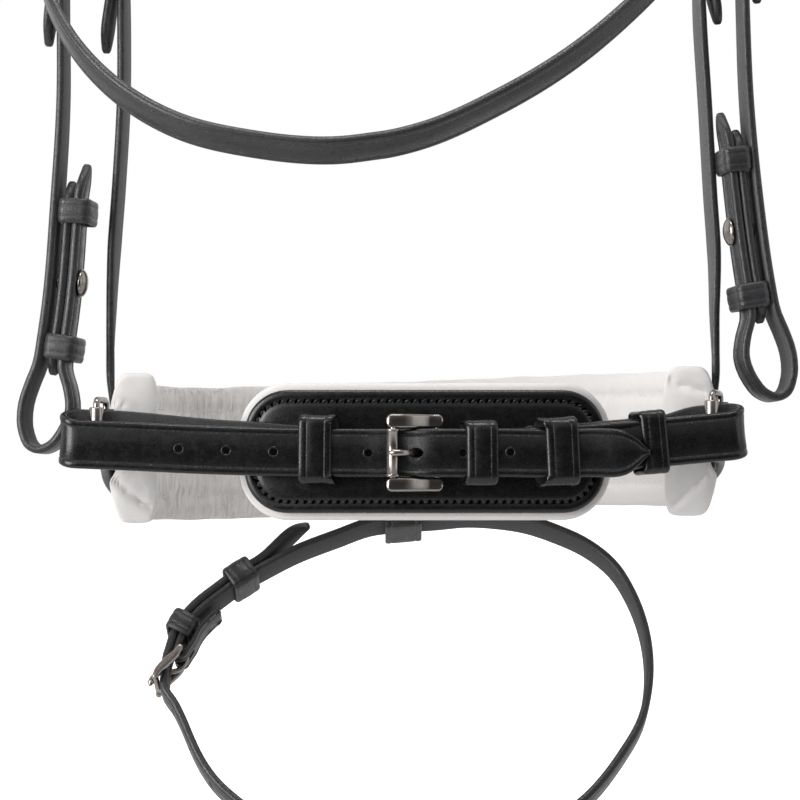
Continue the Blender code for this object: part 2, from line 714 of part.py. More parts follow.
def cornered(points, radius, steps=3):
    """Flat (n, w) points with every inner corner rounded."""
    path = [points[0]]
    for a, b, c in zip(points, points[1:], points[2:]):
        a, b, c = Vector(a), Vector(b), Vector(c)
        start = b + (a - b).normalized() * radius
        end = b + (c - b).normalized() * radius
        for k in range(steps + 1):
            u = k / steps
            path.append(tuple((1 - u) ** 2 * start + 2 * u * (1 - u) * b + u * u * end))
    return path + [points[-1]]


def brow_loop(side):
    """The sewn loop of the browband, round headpiece and carrying strap, from its tail outwards."""
    line = CHEEK[side]
    place, along, out, wide = line.frame(BROW_AT)
    inner = -(CROWN_T / 2 + FIT + STRAP_T) - 2 * FIT - LOOP_T / 2 - 0.5
    outer = STRAP_T / 2 + FIT + LOOP_T / 2
    front = CHEEK_W / 2 + FIT + LOOP_T / 2 + 0.6
    back = REAR - THROAT_W / 2 - FIT - LOOP_T / 2 - 0.4
    path = cornered([(outer - LOOP_T - FIT, front), (inner, front), (inner, back), (outer, back),
                     (outer, front + 6.0)], 2.2)
    return [(place + out * n + wide * w, along * -1.0, LOOP_T) for n, w in path]


def browband():
    left, right = brow_loop("left"), brow_loop("right")
    a, b = left[-1][0], right[-1][0]
    front_z = (a.z + b.z) / 2 - 6.0
    bow = smooth([a, (a.x + 1.0, a.y + 22.0, a.z - 1.5), (-121.0, 66.0, front_z + 3.0), (-78.0, 97.0, front_z),
                  (0.0, 110.0, front_z - 1.0), (78.0, 97.0, front_z), (121.0, 66.0, front_z + 3.0),
                  (b.x - 1.0, b.y + 22.0, b.z - 1.5), b])
    count = len(bow)
    band = []
    for i, place in enumerate(bow[1:-1], 1):
        share = i / (count - 1)
        tilt = left[-1][1] if share < 0.5 else right[-1][1]
        blend = ease(min(1.0, min(share, 1 - share) * 5))
        band.append((place, tilt.lerp(Vector((0.0, 0.0, 1.0)), blend), LOOP_T + 1.0 * blend))
    strap("browband", left + band + right[::-1], BROW_W)


def headstrap():
    """Thin strap over the poll with a billet at each end."""
    runs = {}
    for side, tip in (("left", 72.0), ("right", 60.0)):
        s = HANGER[side].find(2, HANGER_BUCKLE_Z)
        runs[side] = run(HANGER[side], [(0.0, 0.0, STRAP_T)] + billet(s, s + tip, lift=4.0))
    point = pointed(HANGER_W, 13.0)
    body = strap("noseband_headstrap", runs["left"][::-1] + runs["right"][1:], HANGER_W, start=point, end=point)
    for side in SIGN:
        tongue_hole(body, HANGER[side], HANGER[side].find(2, HANGER_BUCKLE_Z), "_hole_" + side)


# Cheekpieces


def cheekpiece(side):
    line = CHEEK[side]
    top = line.find(2, CHEEK_BUCKLE_Z)
    low = line.find(2, LOWER_KEEPER_Z[side])
    strip_n = -(STRAP_T / 2 + FIT + KEEPER_T + FIT + STRIP_T / 2)
    billet_n = strip_n - STRIP_T / 2 - BILLET_GAP - STRAP_T / 2
    outer = chape(line, top) + run(line, [(top + 7.5, 0.0, STRAP_T), (low + 4.0, 0.0, STRAP_T)])
    drop = [(low + 8.0, 0.3), (low + 17.0, LOOP_OUT * 0.62), (low + 26.0, LOOP_OUT),
            (low + LOOP_DROP - 7.0, LOOP_OUT - 1.6), (low + LOOP_DROP - 1.0, -1.6),
            (low + LOOP_DROP, -5.2), (low + LOOP_DROP - 2.4, -10.2), (low + LOOP_DROP - 9.0, -14.4),
            (low + 25.0, -LOOP_IN), (low + 16.0, -LOOP_IN + 2.4), (low + 9.0, billet_n - 0.8)]
    wide = line.frame(low)[3]
    bow = smooth([outer[-1][0]] + [line.point(s, n) for s, n in drop] + [line.point(low + 3.0, billet_n)], 1.5)
    outer += [(p, wide, STRAP_T) for p in bow[1:-1]]
    upper = low - KEEPER_SPACING - SMALL_BAND / 2
    outer += run(line, [(low + 3.0, billet_n, STRAP_T), (upper, billet_n, STRAP_T),
                        (low - TIP_UP, billet_n - 1.6, STRAP_T)])
    body = strap("cheekpiece_" + side, outer, CHEEK_W, end=pointed(CHEEK_W, 14.0))
    slot(body, line, top)
    stud_s = low - STUD_UP
    punch(body, "_stud_hole", line, stud_s, billet_n, STUD_NECK_R + 0.6, STUD_NECK_R + 0.6, 2.6)
    punch(body, "_slit", line, stud_s + 9.0, billet_n, 8.0, 0.5, 2.6)

    strip = run(line, [(low + STRIP_DOWN, strip_n, STRIP_T), (low - STRIP_UP, strip_n, STRIP_T)])
    backing = strap("stud_strip_" + side, strip, CHEEK_W - 1.0, start=pointed(CHEEK_W - 1.0, 8.0),
                    end=pointed(CHEEK_W - 1.0, 9.0))
    punch(backing, "_stud_hole", line, stud_s, strip_n, STUD_NECK_R + FIT, STUD_NECK_R + FIT, 2.2)

    foot = strip_n + STRIP_T / 2 + FIT
    head = billet_n - STRAP_T / 2 - FIT
    inward = -line.frame(stud_s)[2]
    length = foot - head
    profile = [(2.4, -1.3), (4.0, -1.3), (4.2, -0.3), (3.9, 0.0), (STUD_NECK_R, 0.0), (STUD_NECK_R, length),
               (STUD_HEAD_R - 0.4, length), (STUD_HEAD_R, length + 0.8), (STUD_HEAD_R - 1.2, length + 2.2),
               (STUD_HEAD_R * 0.45, length + 3.1)]
    turned("hook_stud_" + side, profile, line.point(stud_s, foot), inward, 14)

    band_low = billet_n - STRAP_T / 2
    band_high = strip_n + STRIP_T / 2
    keeper("cheek_lower_keeper_" + side, line, low, band_low - KEEPER_SLACK, band_high, CHEEK_W, SMALL_BAND)
    keeper("cheek_upper_keeper_" + side, line, low - KEEPER_SPACING, band_low - UPPER_SLACK[side], band_high,
           CHEEK_W, SMALL_BAND)

    buckle(["cheek_buckle_" + side, "cheek_tongue_" + side], line, top, CHEEK_W)
    keeper("cheek_billet_keeper_" + side, line, top + CHAPE_L + KEEPER_AFTER, -STRAP_T / 2,
           STRAP_T * 1.5 + FIT, CHEEK_W, SMALL_BAND, moves=True)


# Straps that carry the noseband


def hanger(side):
    line = HANGER[side]
    top = line.find(2, HANGER_BUCKLE_Z)
    foot = line.far[-1]
    samples = chape(line, top) + run(line, [(top + 7.5, 0.0, STRAP_T), (foot - 62.0, 0.0, STRAP_T),
                                            (foot - 46.0, 0.0, HANGER_FOOT_T), (foot, 0.0, HANGER_FOOT_T)])
    body = strap("hanger_" + side, samples, HANGER_W, end=rounded_end(HANGER_W, 3.0))
    slot(body, line, top)
    buckle(["hanger_buckle_" + side, "hanger_tongue_" + side], line, top, HANGER_W)
    keeper("hanger_keeper_" + side, line, top + CHAPE_L + KEEPER_AFTER, -STRAP_T / 2, STRAP_T * 1.5 + FIT,
           HANGER_W, SMALL_BAND, moves=True)


# Throatlash

THROAT_BUCKLE = {
    "left": THROAT["left"].find(2, throat_place(0.0, 16.0)[2]),
    "right": THROAT["right"].find(2, throat_place(0.0, 13.0)[2]),
}


def throatlash():
    runs = {}
    for side in SIGN:
        line, s = THROAT[side], THROAT_BUCKLE[side]
        end = line.find(0, -5.0, after=s + 60.0)
        runs[side] = chape(line, s) + run(line, [(s + 7.5, 0.0, STRAP_T), (end, 0.0, STRAP_T)])
        buckle(["throat_buckle_" + side, "throat_tongue_" + side], line, s, THROAT_W)
        keeper("throat_keeper_" + side, line, s + CHAPE_L + KEEPER_AFTER, -STRAP_T / 2, STRAP_T * 1.5 + FIT,
               THROAT_W, SMALL_BAND, moves=True)
    body = strap("throatlash", runs["left"] + runs["right"][::-1][1:], THROAT_W)
    for side in SIGN:
        slot(body, THROAT[side], THROAT_BUCKLE[side])


# Noseband


def noseband():
    low = -RING_R - FIT - SKIVED_T / 2
    length = NOSE.far[-1]
    rise = {side: ring_centre(side)[2] - NOSE.point(0.0 if side == "left" else length).z for side in SIGN}
    start = [(TAB_L, TAIL_N, SKIVED_T, rise["left"]), (8.0, TAIL_N, SKIVED_T, rise["left"]),
             (0.0, low, SKIVED_T, rise["left"])]
    finish = [(length, low, SKIVED_T, rise["right"]), (length - 8.0, TAIL_N, SKIVED_T, rise["right"]),
              (length - TAB_L, TAIL_N, SKIVED_T, rise["right"])]
    middle = [(0.0, -low, SKIVED_T, rise["left"]), (8.0, 0.0, STRAP_T, rise["left"]), (62.0, 0.0, STRAP_T),
              (length - 62.0, 0.0, STRAP_T), (length - 8.0, 0.0, STRAP_T, rise["right"]),
              (length, -low, SKIVED_T, rise["right"])]
    samples = run(NOSE, start) + fold(NOSE, 0.0, low, -low, SKIVED_T, -1.0, 6, rise["left"], rise["left"])
    samples += run(NOSE, middle)
    samples += fold(NOSE, length, -low, low, SKIVED_T, 1.0, 6, rise["right"], rise["right"]) + run(NOSE, finish)
    reach = TAB_L + math.pi * -low
    slim = (reach + 78.0, lambda d: tapered(NOSE_H, NOSE_END_H, 50.0)[1](max(0.0, d - reach - 28.0)))
    strap("noseband_leather", samples, NOSE_H, start=slim, end=slim, tip_steps=7)

    near, away = TAIL_N - SKIVED_T / 2 - FIT - LINING_T / 2, -STRAP_T / 2 - FIT - LINING_T / 2
    in_from, in_to = HANGER_AT["left"] + HANGER_W, HANGER_AT["right"] - HANGER_W
    stations = [(6.0, near, LINING_T), (in_from, near, LINING_T), (in_from + 20.0, away, LINING_T),
                (in_to - 20.0, away, LINING_T), (in_to, near, LINING_T), (length - 6.0, near, LINING_T)]
    corner = rounded_end(LINING_H, 5.0)
    strap("noseband_lining", run(NOSE, stations), LINING_H, WHITE_LEATHER, start=corner, end=corner,
          section=padded_section, flip=NOSE.side, tip_steps=3)


RING_X = {"left": -125.0, "right": 128.4}
ROLLER_N = -(STRAP_T / 2 + FIT + RING_ROLLER_R)


def ring_centre(side):
    """Middle of the ring's near bar."""
    place = JAW.point(JAW.find(0, RING_X[side]), ROLLER_N)
    return place + Vector((0.0, 0.0, RING_UP))


def end_ring(side):
    """Rectangular wire ring: one bar in the noseband's fold, the other in the crank strap's loop."""
    far_place = NOSE.point(0.0 if side == "left" else NOSE.far[-1])
    near = ring_centre(side)
    far = Vector((far_place.x, far_place.y, near.z))
    cross = (far - near).normalized()
    half = RING_H / 2 - RING_R
    corner = 2.4
    path = []
    for end, sign in ((near, -1.0), (near, 1.0), (far, 1.0), (far, -1.0)):
        inward = cross if end is near else -cross
        steps = range(4) if (end is near) == (sign > 0) else range(3, -1, -1)
        for k in steps:
            angle = math.radians(30 * k)
            path.append(end + inward * corner * (1 - math.cos(angle))
                        + Vector((0, 0, sign * (half - corner * (1 - math.sin(angle))))))
    rings = []
    count = len(path)
    flat = cross.cross(Vector((0, 0, 1)))
    for i in range(count):
        along = (path[(i + 1) % count] - path[i - 1]).normalized()
        up = along.cross(flat)
        rings.append([path[i] + (flat * math.cos(2 * math.pi * k / 8) + up * math.sin(2 * math.pi * k / 8)) * RING_R
                      for k in range(8)])
    skin("end_ring_" + side, rings, STEEL, closed=True, origin=far)
    half_l = RING_ROLLER_L / 2
    wall = [(RING_ROLLER_BORE_R, -half_l), (RING_ROLLER_R - 0.3, -half_l), (RING_ROLLER_R, 0.6 - half_l),
            (RING_ROLLER_R, half_l - 0.6), (RING_ROLLER_R - 0.3, half_l), (RING_ROLLER_BORE_R, half_l)]
    turned("ring_roller_" + side, wall, near, (0, 0, 1), 14, bored=True)


# Jaw piece and crank strap

CRANK_S = JAW.find(0, 15.2)
FAR_N = -(STRAP_T + KEEPER_T + 2 * FIT)
RING_N = 2 * ROLLER_N
PAD_N = FAR_N - STRAP_T / 2 - FIT
BEND_X = {"left": -133.0, "right": 135.4}
FAR_X = {"left": (-24.0, -46.0, -60.0, -121.0), "right": (50.0, 74.0, 107.0, 125.0)}
FAR_UP = {"left": (1.0, 1.6, 2.4, 4.6), "right": (1.0, 1.0, 1.0, 3.8)}
CRANK_TIP_X = 101.7
TIP_DOWN = -3.5
OVER_RUNNER = STRAP_T + KEEPER_T + 2 * FIT
PAD_KEEPER_X = {"left": -33.4, "right": 64.0}
RUNNER_X = {"inner": 32.2, "outer": 102.4}
LOOSE = 3.6


def crank_loop(side):
    """Samples out along the far run to the ring and round the bend to the near run."""
    sign = SIGN[side]
    bend, ring = JAW.find(0, BEND_X[side]), JAW.find(0, RING_X[side])
    spots, up = [JAW.find(0, x) for x in FAR_X[side]], FAR_UP[side]
    stations = [(spots[0], FAR_N, STRAP_T, up[0]), (spots[1], FAR_N, STRAP_T, up[1]),
                (spots[2], FAR_N, STRAP_T, up[2]), (spots[3], RING_N, STRAP_T, up[3]),
                (bend, RING_N, STRAP_T, up[3])]
    return run(JAW, stations) + fold(JAW, bend, RING_N, 0.0, STRAP_T, sign, 10, up[3], 0.0)


def crank_straps():
    bend = JAW.find(0, BEND_X["left"])
    top = STRAP_T + FIT
    passes = billet(CRANK_S, 0.0, CRANK_BUCKLE_L)[:-2]
    passes += [(JAW.find(0, 36.0), top, STRAP_T), (JAW.find(0, 75.0), top, STRAP_T, TIP_DOWN * 0.45),
               (JAW.find(0, 93.0), OVER_RUNNER, STRAP_T, TIP_DOWN * 0.85),
               (JAW.find(0, CRANK_TIP_X), OVER_RUNNER, STRAP_T, TIP_DOWN)]
    near = run(JAW, [(bend, 0.0, STRAP_T)] + passes)
    body = strap("crank_strap_left", crank_loop("left") + near, CRANK_W,
                 start=rounded_end(CRANK_W, 4.0), end=pointed(CRANK_W, 17.0))
    hole_s = CRANK_S - TONGUE_REACH
    tongue_hole(body, JAW, CRANK_S)
    for k in (-5, -4, -3, -2, -1, 1, 2):
        s = hole_s + k * HOLE_PITCH
        level = 0.0 if k < 0 else STRAP_T + FIT
        punch(body, "_hole" + str(k), JAW, s, level, HOLE_R, HOLE_R, 2.6)

    bend = JAW.find(0, BEND_X["right"])
    near = run(JAW, [(CRANK_S + 7.5, 0.0, STRAP_T), (bend, 0.0, STRAP_T)])
    body = strap("crank_strap_right", chape(JAW, CRANK_S) + near + crank_loop("right")[::-1], CRANK_W,
                 end=rounded_end(CRANK_W, 4.0))
    slot(body, JAW, CRANK_S)
    buckle(["crank_buckle_frame", "crank_buckle_tongue", "crank_buckle_roller"], JAW, CRANK_S, CRANK_W,
           CRANK_BUCKLE_L, roller=True)

    high = STRAP_T * 1.5 + FIT
    wide = CRANK_W + LOOSE
    keeper("pad_keeper_left", JAW, JAW.find(0, PAD_KEEPER_X["left"]), -STRAP_T / 2, STRAP_T / 2,
           wide, CRANK_BAND, lean=-3.0, shift=1.4)
    keeper("pad_keeper_right", JAW, JAW.find(0, PAD_KEEPER_X["right"]), -STRAP_T / 2, high, wide,
           CRANK_BAND, lean=5.0, shift=-0.4)
    tail = TAIL_N - SKIVED_T / 2
    keeper("crank_runner_inner", JAW, JAW.find(0, RUNNER_X["inner"]), tail, high, wide - 1.0,
           RUNNER_BAND, moves=True, lean=3.0)
    keeper("crank_runner_outer", JAW, JAW.find(0, RUNNER_X["outer"]), FAR_N - STRAP_T / 2, STRAP_T / 2,
           CRANK_W + 2.0, SMALL_BAND, moves=True, lean=4.0, shift=0.5)


def jaw_line(depth):
    """The padded piece's own line: flat in the middle, its ends easing back round the jaw."""
    points = []
    for share in (-1.0, -0.75, -0.5, -0.25, 0.0, 0.25, 0.5, 0.75, 1.0):
        x = share * (PAD_LINING_L / 2 + 2.0)
        back = 5.0 * max(0.0, abs(share) - 0.45) ** 2 / 0.3
        points.append((PAD_X + x, JAW_Y - depth + back, NOSE_LEVEL - 1.6))
    return Line(points, [(0.0, 0.0, 1.0)], 1.0)


def jaw_pad():
    line = jaw_line(PAD_N - PAD_T / 2)
    middle = line.far[-1] / 2
    samples = run(line, [(middle - PAD_L / 2, 0.0, PAD_T), (middle + PAD_L / 2, 0.0, PAD_T)])
    corner = rounded_end(PAD_H, PAD_CORNER)
    strap("jaw_pad_leather", samples, PAD_H, start=corner, end=corner)
    behind = -PAD_T / 2 - FIT - PAD_LINING_T / 2
    samples = run(line, [(middle - PAD_LINING_L / 2, behind, PAD_LINING_T),
                         (middle + PAD_LINING_L / 2, behind, PAD_LINING_T)])
    corner = rounded_end(PAD_LINING_H, PAD_CORNER + 3.0)
    strap("jaw_pad_lining", samples, PAD_LINING_H, WHITE_LEATHER, start=corner, end=corner,
          section=padded_section, flip=1.0)


# Flash strap


def flash():
    level = flash_place(*FLASH_TURN[round(FLASH_HEEL)])[2]
    first = FLASH.find(2, level)
    s = FLASH.find(2, level, after=first + 350.0)
    top = STRAP_T + FIT
    samples = chape(FLASH, first, FLASH_CHAPE_L, KEEPER_T + FIT + 2 * CURVE_ROOM)
    samples += run(FLASH, [(first + 7.5, 0.0, STRAP_T), (s - FLASH_BUCKLE_L - 16.0, 0.0, STRAP_T)])[:-1]
    samples += run(FLASH, [(s - FLASH_BUCKLE_L - 16.0, 0.0, STRAP_T)] + billet(s, 0.0, FLASH_BUCKLE_L)[:-2]
                   + [(s + FLASH_RUNNER + 8.0, top, STRAP_T), (s + FLASH_TIP, top + 7.5, STRAP_T)])
    body = strap("flash_strap", samples, FLASH_W, end=pointed(FLASH_W, 15.0))
    slot(body, FLASH, first)
    tongue_hole(body, FLASH, s)
    buckle(["flash_buckle_frame", "flash_buckle_tongue"], FLASH, first, FLASH_W, FLASH_BUCKLE_L)
    for k in (-3, -2, -1, 1):
        level = 0.0 if k < 0 else top
        punch(body, "_hole" + str(k), FLASH, s - TONGUE_REACH + k * HOLE_PITCH, level, HOLE_R, HOLE_R, 2.6)
    high = STRAP_T * 1.5 + FIT + CURVE_ROOM
    low = -STRAP_T / 2
    low -= CURVE_ROOM
    keeper("flash_fixed_keeper", FLASH, first + FLASH_KEEPER, low, high + 0.4, FLASH_W, SMALL_BAND)
    keeper("flash_runner", FLASH, first + FLASH_RUNNER, low, high, FLASH_W, RUNNER_BAND, moves=True)
    flash_loop(first)


def flash_loop(first):
    """The leather loop that hangs from the front of the noseband and holds the flash strap."""
    place, along, out, wide = FLASH.frame(FLASH.find(0, LOOP_X, after=first))
    half_w = FLASH_W / 2 + 2 * FIT + TAB_T / 2
    high = STRAP_T / 2 + FIT + CURVE_ROOM + TAB_T / 2
    low = -high - LOOP_SLACK
    face = NOSE.point(NOSE.find(0, LOOP_X), STRAP_T / 2 + FIT + TAB_T / 2)
    ends = [(FLASH_W / 2 - 1.0, high), (-half_w, high), (-half_w, low), (half_w, low), (half_w + 1.0, high)]
    corners = [place + wide * a + out * b for a, b in ends]
    corners += [Vector((LOOP_X, face.y, face.z - NOSE_H / 2 + 3.0)), Vector((LOOP_X, face.y, face.z + 6.0))]
    path = cornered([(p.y, p.z) for p in corners], 1.6)
    samples = []
    for i, (y, z) in enumerate(path):
        twist = ease(max(0.0, i / (len(path) - 1) - 0.6) / 0.4)
        samples.append((Vector((LOOP_X, y, z)), along.lerp(Vector((1.0, 0.0, 0.0)), twist), TAB_T))
    strap("flash_loop", samples, FLASH_W + 1.0, end=rounded_end(FLASH_W + 1.0, 4.0))


headpiece()
browband()
headstrap()
for each_side in SIGN:
    cheekpiece(each_side)
    hanger(each_side)
    end_ring(each_side)
throatlash()
noseband()
crank_straps()
jaw_pad()
flash()
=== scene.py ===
# %% [markdown]
# # A crank noseband bridle, piece by piece
# The bridle hangs from a peg under its crown and is seen from the chin side. It is strap leather, white
# padding and a little steel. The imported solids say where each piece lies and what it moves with. This
# script gives each piece its finished form, on the same lines.

import math

import bmesh
import bpy
import numpy as np
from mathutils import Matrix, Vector, noise

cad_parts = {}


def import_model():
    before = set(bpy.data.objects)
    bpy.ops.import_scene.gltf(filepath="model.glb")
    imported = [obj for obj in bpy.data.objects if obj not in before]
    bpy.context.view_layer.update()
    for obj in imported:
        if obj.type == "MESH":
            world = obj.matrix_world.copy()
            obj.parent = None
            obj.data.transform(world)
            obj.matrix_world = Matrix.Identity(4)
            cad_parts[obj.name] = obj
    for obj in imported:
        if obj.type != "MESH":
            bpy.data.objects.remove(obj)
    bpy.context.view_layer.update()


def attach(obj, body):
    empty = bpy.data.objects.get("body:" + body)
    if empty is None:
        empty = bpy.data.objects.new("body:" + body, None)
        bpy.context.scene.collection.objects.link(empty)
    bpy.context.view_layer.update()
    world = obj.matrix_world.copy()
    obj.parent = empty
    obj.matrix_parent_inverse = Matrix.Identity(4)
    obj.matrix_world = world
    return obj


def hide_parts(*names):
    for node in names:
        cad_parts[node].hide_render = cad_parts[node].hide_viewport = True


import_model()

# %% [markdown]
# ## Colours and nodes
# Colours are picked as sRGB hex values, as on a screen, and a shader wants linear light. One function
# turns them. Another adds a shader or geometry node with its settings and its links, which keeps every
# material below readable from its inputs to its output.

# %% Colour and node helpers
def hex_colour(code):
    """An sRGB hex value as linear red, green, blue and alpha."""
    parts = [int(code[i:i + 2], 16) / 255 for i in (1, 3, 5)]
    return [*(c / 12.92 if c <= 0.04045 else ((c + 0.055) / 1.055) ** 2.4 for c in parts), 1.0]


def add(tree, kind, sockets=None, **settings):
    """One node: its settings by name, and each input as a value or as another node's output."""
    made = tree.nodes.new(kind)
    for name, value in settings.items():
        setattr(made, name, value)
    for key, value in (sockets or {}).items():
        if isinstance(value, bpy.types.NodeSocket):
            tree.links.new(value, made.inputs[key])
        else:
            made.inputs[key].default_value = value
    return made


print("mid grey #808080 is", round(hex_colour("#808080")[0], 3), "in linear light")

# %% [markdown]
# A few kinds of node come up in every material, so each has a short name here: a remapped range, a sum, a
# mix of two values, a scaled colour, a cloudy noise and a bump. Each returns the output that the next node
# takes.

# %% Short names for nodes
def remap(tree, value, low, high, to_low=0.0, to_high=1.0, **settings):
    return add(tree, "ShaderNodeMapRange", {"Value": value, "From Min": low, "From Max": high,
                                            "To Min": to_low, "To Max": to_high}, **settings).outputs["Result"]


def maths(tree, operation, *values, **settings):
    return add(tree, "ShaderNodeMath", dict(enumerate(values)), operation=operation, **settings).outputs["Value"]


def mix(tree, share, a, b, kind="RGBA"):
    return add(tree, "ShaderNodeMix", {"Factor": share, "A": a, "B": b}, data_type=kind).outputs["Result"]


def scaled(tree, code, by):
    return add(tree, "ShaderNodeVectorMath", {0: hex_colour(code)[:3], "Scale": by},
               operation="SCALE").outputs["Vector"]


def cloudy(tree, spot, scale, detail, roughness=0.5, distortion=0.0):
    return add(tree, "ShaderNodeTexNoise", {"Vector": spot, "Scale": scale, "Detail": detail,
                                            "Roughness": roughness, "Distortion": distortion}).outputs["Fac"]


def bumped(tree, height, strength, distance, **under):
    return add(tree, "ShaderNodeBump", {"Height": height, "Strength": strength, "Distance": distance,
                                        **under}).outputs["Normal"]


def new_material(name):
    """An empty material, its tree and the object coordinate that its textures follow."""
    made = bpy.data.materials.new(name)
    made.use_nodes = True
    made.node_tree.nodes.clear()
    return made, made.node_tree, add(made.node_tree, "ShaderNodeTexCoord").outputs["Object"]


def surface(tree, inputs):
    """The material's shader with its inputs, and the output behind it."""
    shader = add(tree, "ShaderNodeBsdfPrincipled", inputs)
    add(tree, "ShaderNodeOutputMaterial", {"Surface": shader.outputs["BSDF"]})


print("node helpers ready")

# %% [markdown]
# ## Strap leather
# Bridle leather is vegetable-tanned cowhide, dyed black, filled with wax and glazed. It gives the eye a satin
# face with fine pores, faint broad clouds where the wax lies unevenly, a smooth burnished edge, and a dull
# fibrous back, the flesh side. Real pores lie half a millimetre apart or less. That is too fine to show at
# this size, so they are drawn nearly a millimetre apart. One strap shows all of this, so one material holds
# it, and a second UV map, written with each strap, says which side a point is on and how near it is to the
# edge. There are three materials: the waxed one of most straps, the glazed, nearly black one of the crank
# strap and its jaw piece, and the waxed one again, painted darker as painted shade, for the flash strap.

# %% Strap leather materials
def strap_leather(name, face, cloud, flesh, fleck, roughness, pore_mm, pore_depth_mm, fuzz):
    made, tree, spot = new_material(name)
    side = add(tree, "ShaderNodeUVMap", uv_map="side").outputs["UV"]
    split = add(tree, "ShaderNodeSeparateXYZ", {"Vector": side}).outputs
    which, inward = split["X"], split["Y"]
    on_face = remap(tree, which, 0.12, 0.34)
    clouds = cloudy(tree, spot, 45.0, 4.0, 0.6)
    scuffs = cloudy(tree, spot, 260.0, 6.0, 0.7)
    fibres = cloudy(tree, spot, 1100.0, 4.0, 0.75)
    pores = add(tree, "ShaderNodeTexVoronoi", {"Vector": spot, "Scale": 1000.0 / pore_mm, "Randomness": 1.0},
                feature="DISTANCE_TO_EDGE").outputs["Distance"]

    grain = mix(tree, remap(tree, clouds, 0.35, 0.7), hex_colour(face), hex_colour(cloud))
    # Lighter flecks in the fleck colour, densest in the crease lines and near the edges, sparse on the face.
    crease = maths(tree, "MULTIPLY", remap(tree, which, 0.97, 0.84), remap(tree, inward, 0.5, 0.8))
    creases_and_edges = maths(tree, "MAXIMUM", crease, remap(tree, inward, 0.42, 0.05, 0.0, 0.12))
    amount = maths(tree, "MULTIPLY_ADD", creases_and_edges, 0.9, 0.08)
    fleck_share = maths(tree, "MULTIPLY", remap(tree, fibres, 0.5, 0.66), amount, use_clamp=True)
    flecked = mix(tree, fleck_share, grain, hex_colour(fleck))
    back = scaled(tree, flesh, remap(tree, fibres, 0.35, 0.68, 1.0 - fuzz, 1.0 + fuzz))

    glaze = remap(tree, scuffs, 0.3, 0.7, roughness - 0.08, roughness + 0.1)
    height = mix(tree, on_face, fibres, remap(tree, pores, 0.0, 0.36), "FLOAT")
    surface(tree, {"Base Color": mix(tree, on_face, back, flecked), "IOR": 1.5,
                   "Roughness": mix(tree, on_face, 0.7, glaze, "FLOAT"),
                   "Normal": bumped(tree, height, 1.0, pore_depth_mm / 1000)})
    return made


BRIDLE_LEATHER = strap_leather("waxed_bridle_leather", "#2a2a2c", "#343436", "#58585a", "#6c6c6d", 0.3, 0.9,
                               0.055, 0.3)
CRANK_LEATHER = strap_leather("glazed_bridle_leather", "#080808", "#0c0c0c", "#262628", "#4e4e50", 0.26, 0.95,
                              0.02, 0.8)
# Painted shade: the waxed leather again, painted darker for the flash strap, its keepers and its loop.
SHADED_FLASH_LEATHER = strap_leather("bridle_leather_painted_darker_as_shade", "#1b1b1c", "#232325", "#3a3a3c", "#565658", 0.32, 0.9,
                              0.045, 0.4)
print("strap leathers:", BRIDLE_LEATHER.name, CRANK_LEATHER.name, SHADED_FLASH_LEATHER.name)

# %% [markdown]
# ## Padding leather
# The noseband and the jaw piece are lined with soft white glove leather over foam. It is matt, pebbled at
# about a millimetre, and it gathers into fine upright wrinkles where the band bends round the nose. The
# wrinkles are a noise that is stretched upwards, so they run up and down on every side of the curve. They
# are strong on the left, where this band is pressed together, and faint elsewhere. There the valleys between
# them are painted a darker, faintly warm tone, which is painted shade.

# %% Padding leather material
def glove_leather(name, tone, valley_shade):
    made, tree, spot = new_material(name)
    place = add(tree, "ShaderNodeSeparateXYZ", {"Vector": spot}).outputs
    left = remap(tree, place["X"], -0.052, -0.074, 0.1)
    patch = remap(tree, cloudy(tree, spot, 60.0, 3.0), 0.38, 0.58, 0.45)
    strong = maths(tree, "MULTIPLY", maths(tree, "MULTIPLY", left, patch), remap(tree, place["Y"], 0.002, 0.02))
    upright = add(tree, "ShaderNodeMapping", {"Vector": spot, "Scale": (1.0, 1.0, 0.11)}).outputs["Vector"]
    ridge = remap(tree, cloudy(tree, upright, 760.0, 2.0, distortion=0.4), 0.34, 0.6)
    # Painted shade: where the wrinkles are strong, their valleys take the darker second colour.
    painted_valley_shade = maths(tree, "MULTIPLY", maths(tree, "MULTIPLY_ADD", ridge, -1.0, 1.0), strong)
    pebble = add(tree, "ShaderNodeTexVoronoi", {"Vector": spot, "Scale": 900.0}, feature="SMOOTH_F1")
    fine = bumped(tree, pebble.outputs["Distance"], 0.6, 0.00016)
    surface(tree, {"Base Color": mix(tree, painted_valley_shade, hex_colour(tone), hex_colour(valley_shade)),
                   "Roughness": 0.6, "IOR": 1.45,
                   "Normal": bumped(tree, maths(tree, "MULTIPLY", ridge, strong), 1.0, 0.0005, Normal=fine)})
    return made


# The third colour is painted shade for the wrinkles' valleys.
WHITE_PADDING = glove_leather("white_glove_leather", "#e1dedc", "#cdc8c5")
print("padding leather:", WHITE_PADDING.name)

# %% [markdown]
# ## Steel and thread
# The buckles, studs and rings are cast stainless steel that is tumbled and polished, so they mirror, but a
# little softly, with hair-fine scratches. The thread is waxed linen, with a dull sheen and a diagonal twist;
# its colour is painted lighter and darker along the twist as painted shade and painted light. A last thread,
# all black and without any sheen, is painted shade that stands for the dark of the awl holes.

# %% Steel and thread materials
def polished_steel(name, tone, roughness):
    made, tree, spot = new_material(name)
    hair = add(tree, "ShaderNodeMapping", {"Vector": spot, "Scale": (1.0, 1.0, 0.06)}).outputs["Vector"]
    lines = cloudy(tree, hair, 3000.0, 3.0)
    both = maths(tree, "MULTIPLY", lines, cloudy(tree, spot, 220.0, 2.0))
    surface(tree, {"Base Color": hex_colour(tone), "Metallic": 1.0,
                   "Roughness": remap(tree, both, 0.12, 0.4, roughness - 0.03, roughness + 0.05),
                   "Normal": bumped(tree, lines, 0.1, 0.00002)})
    return made


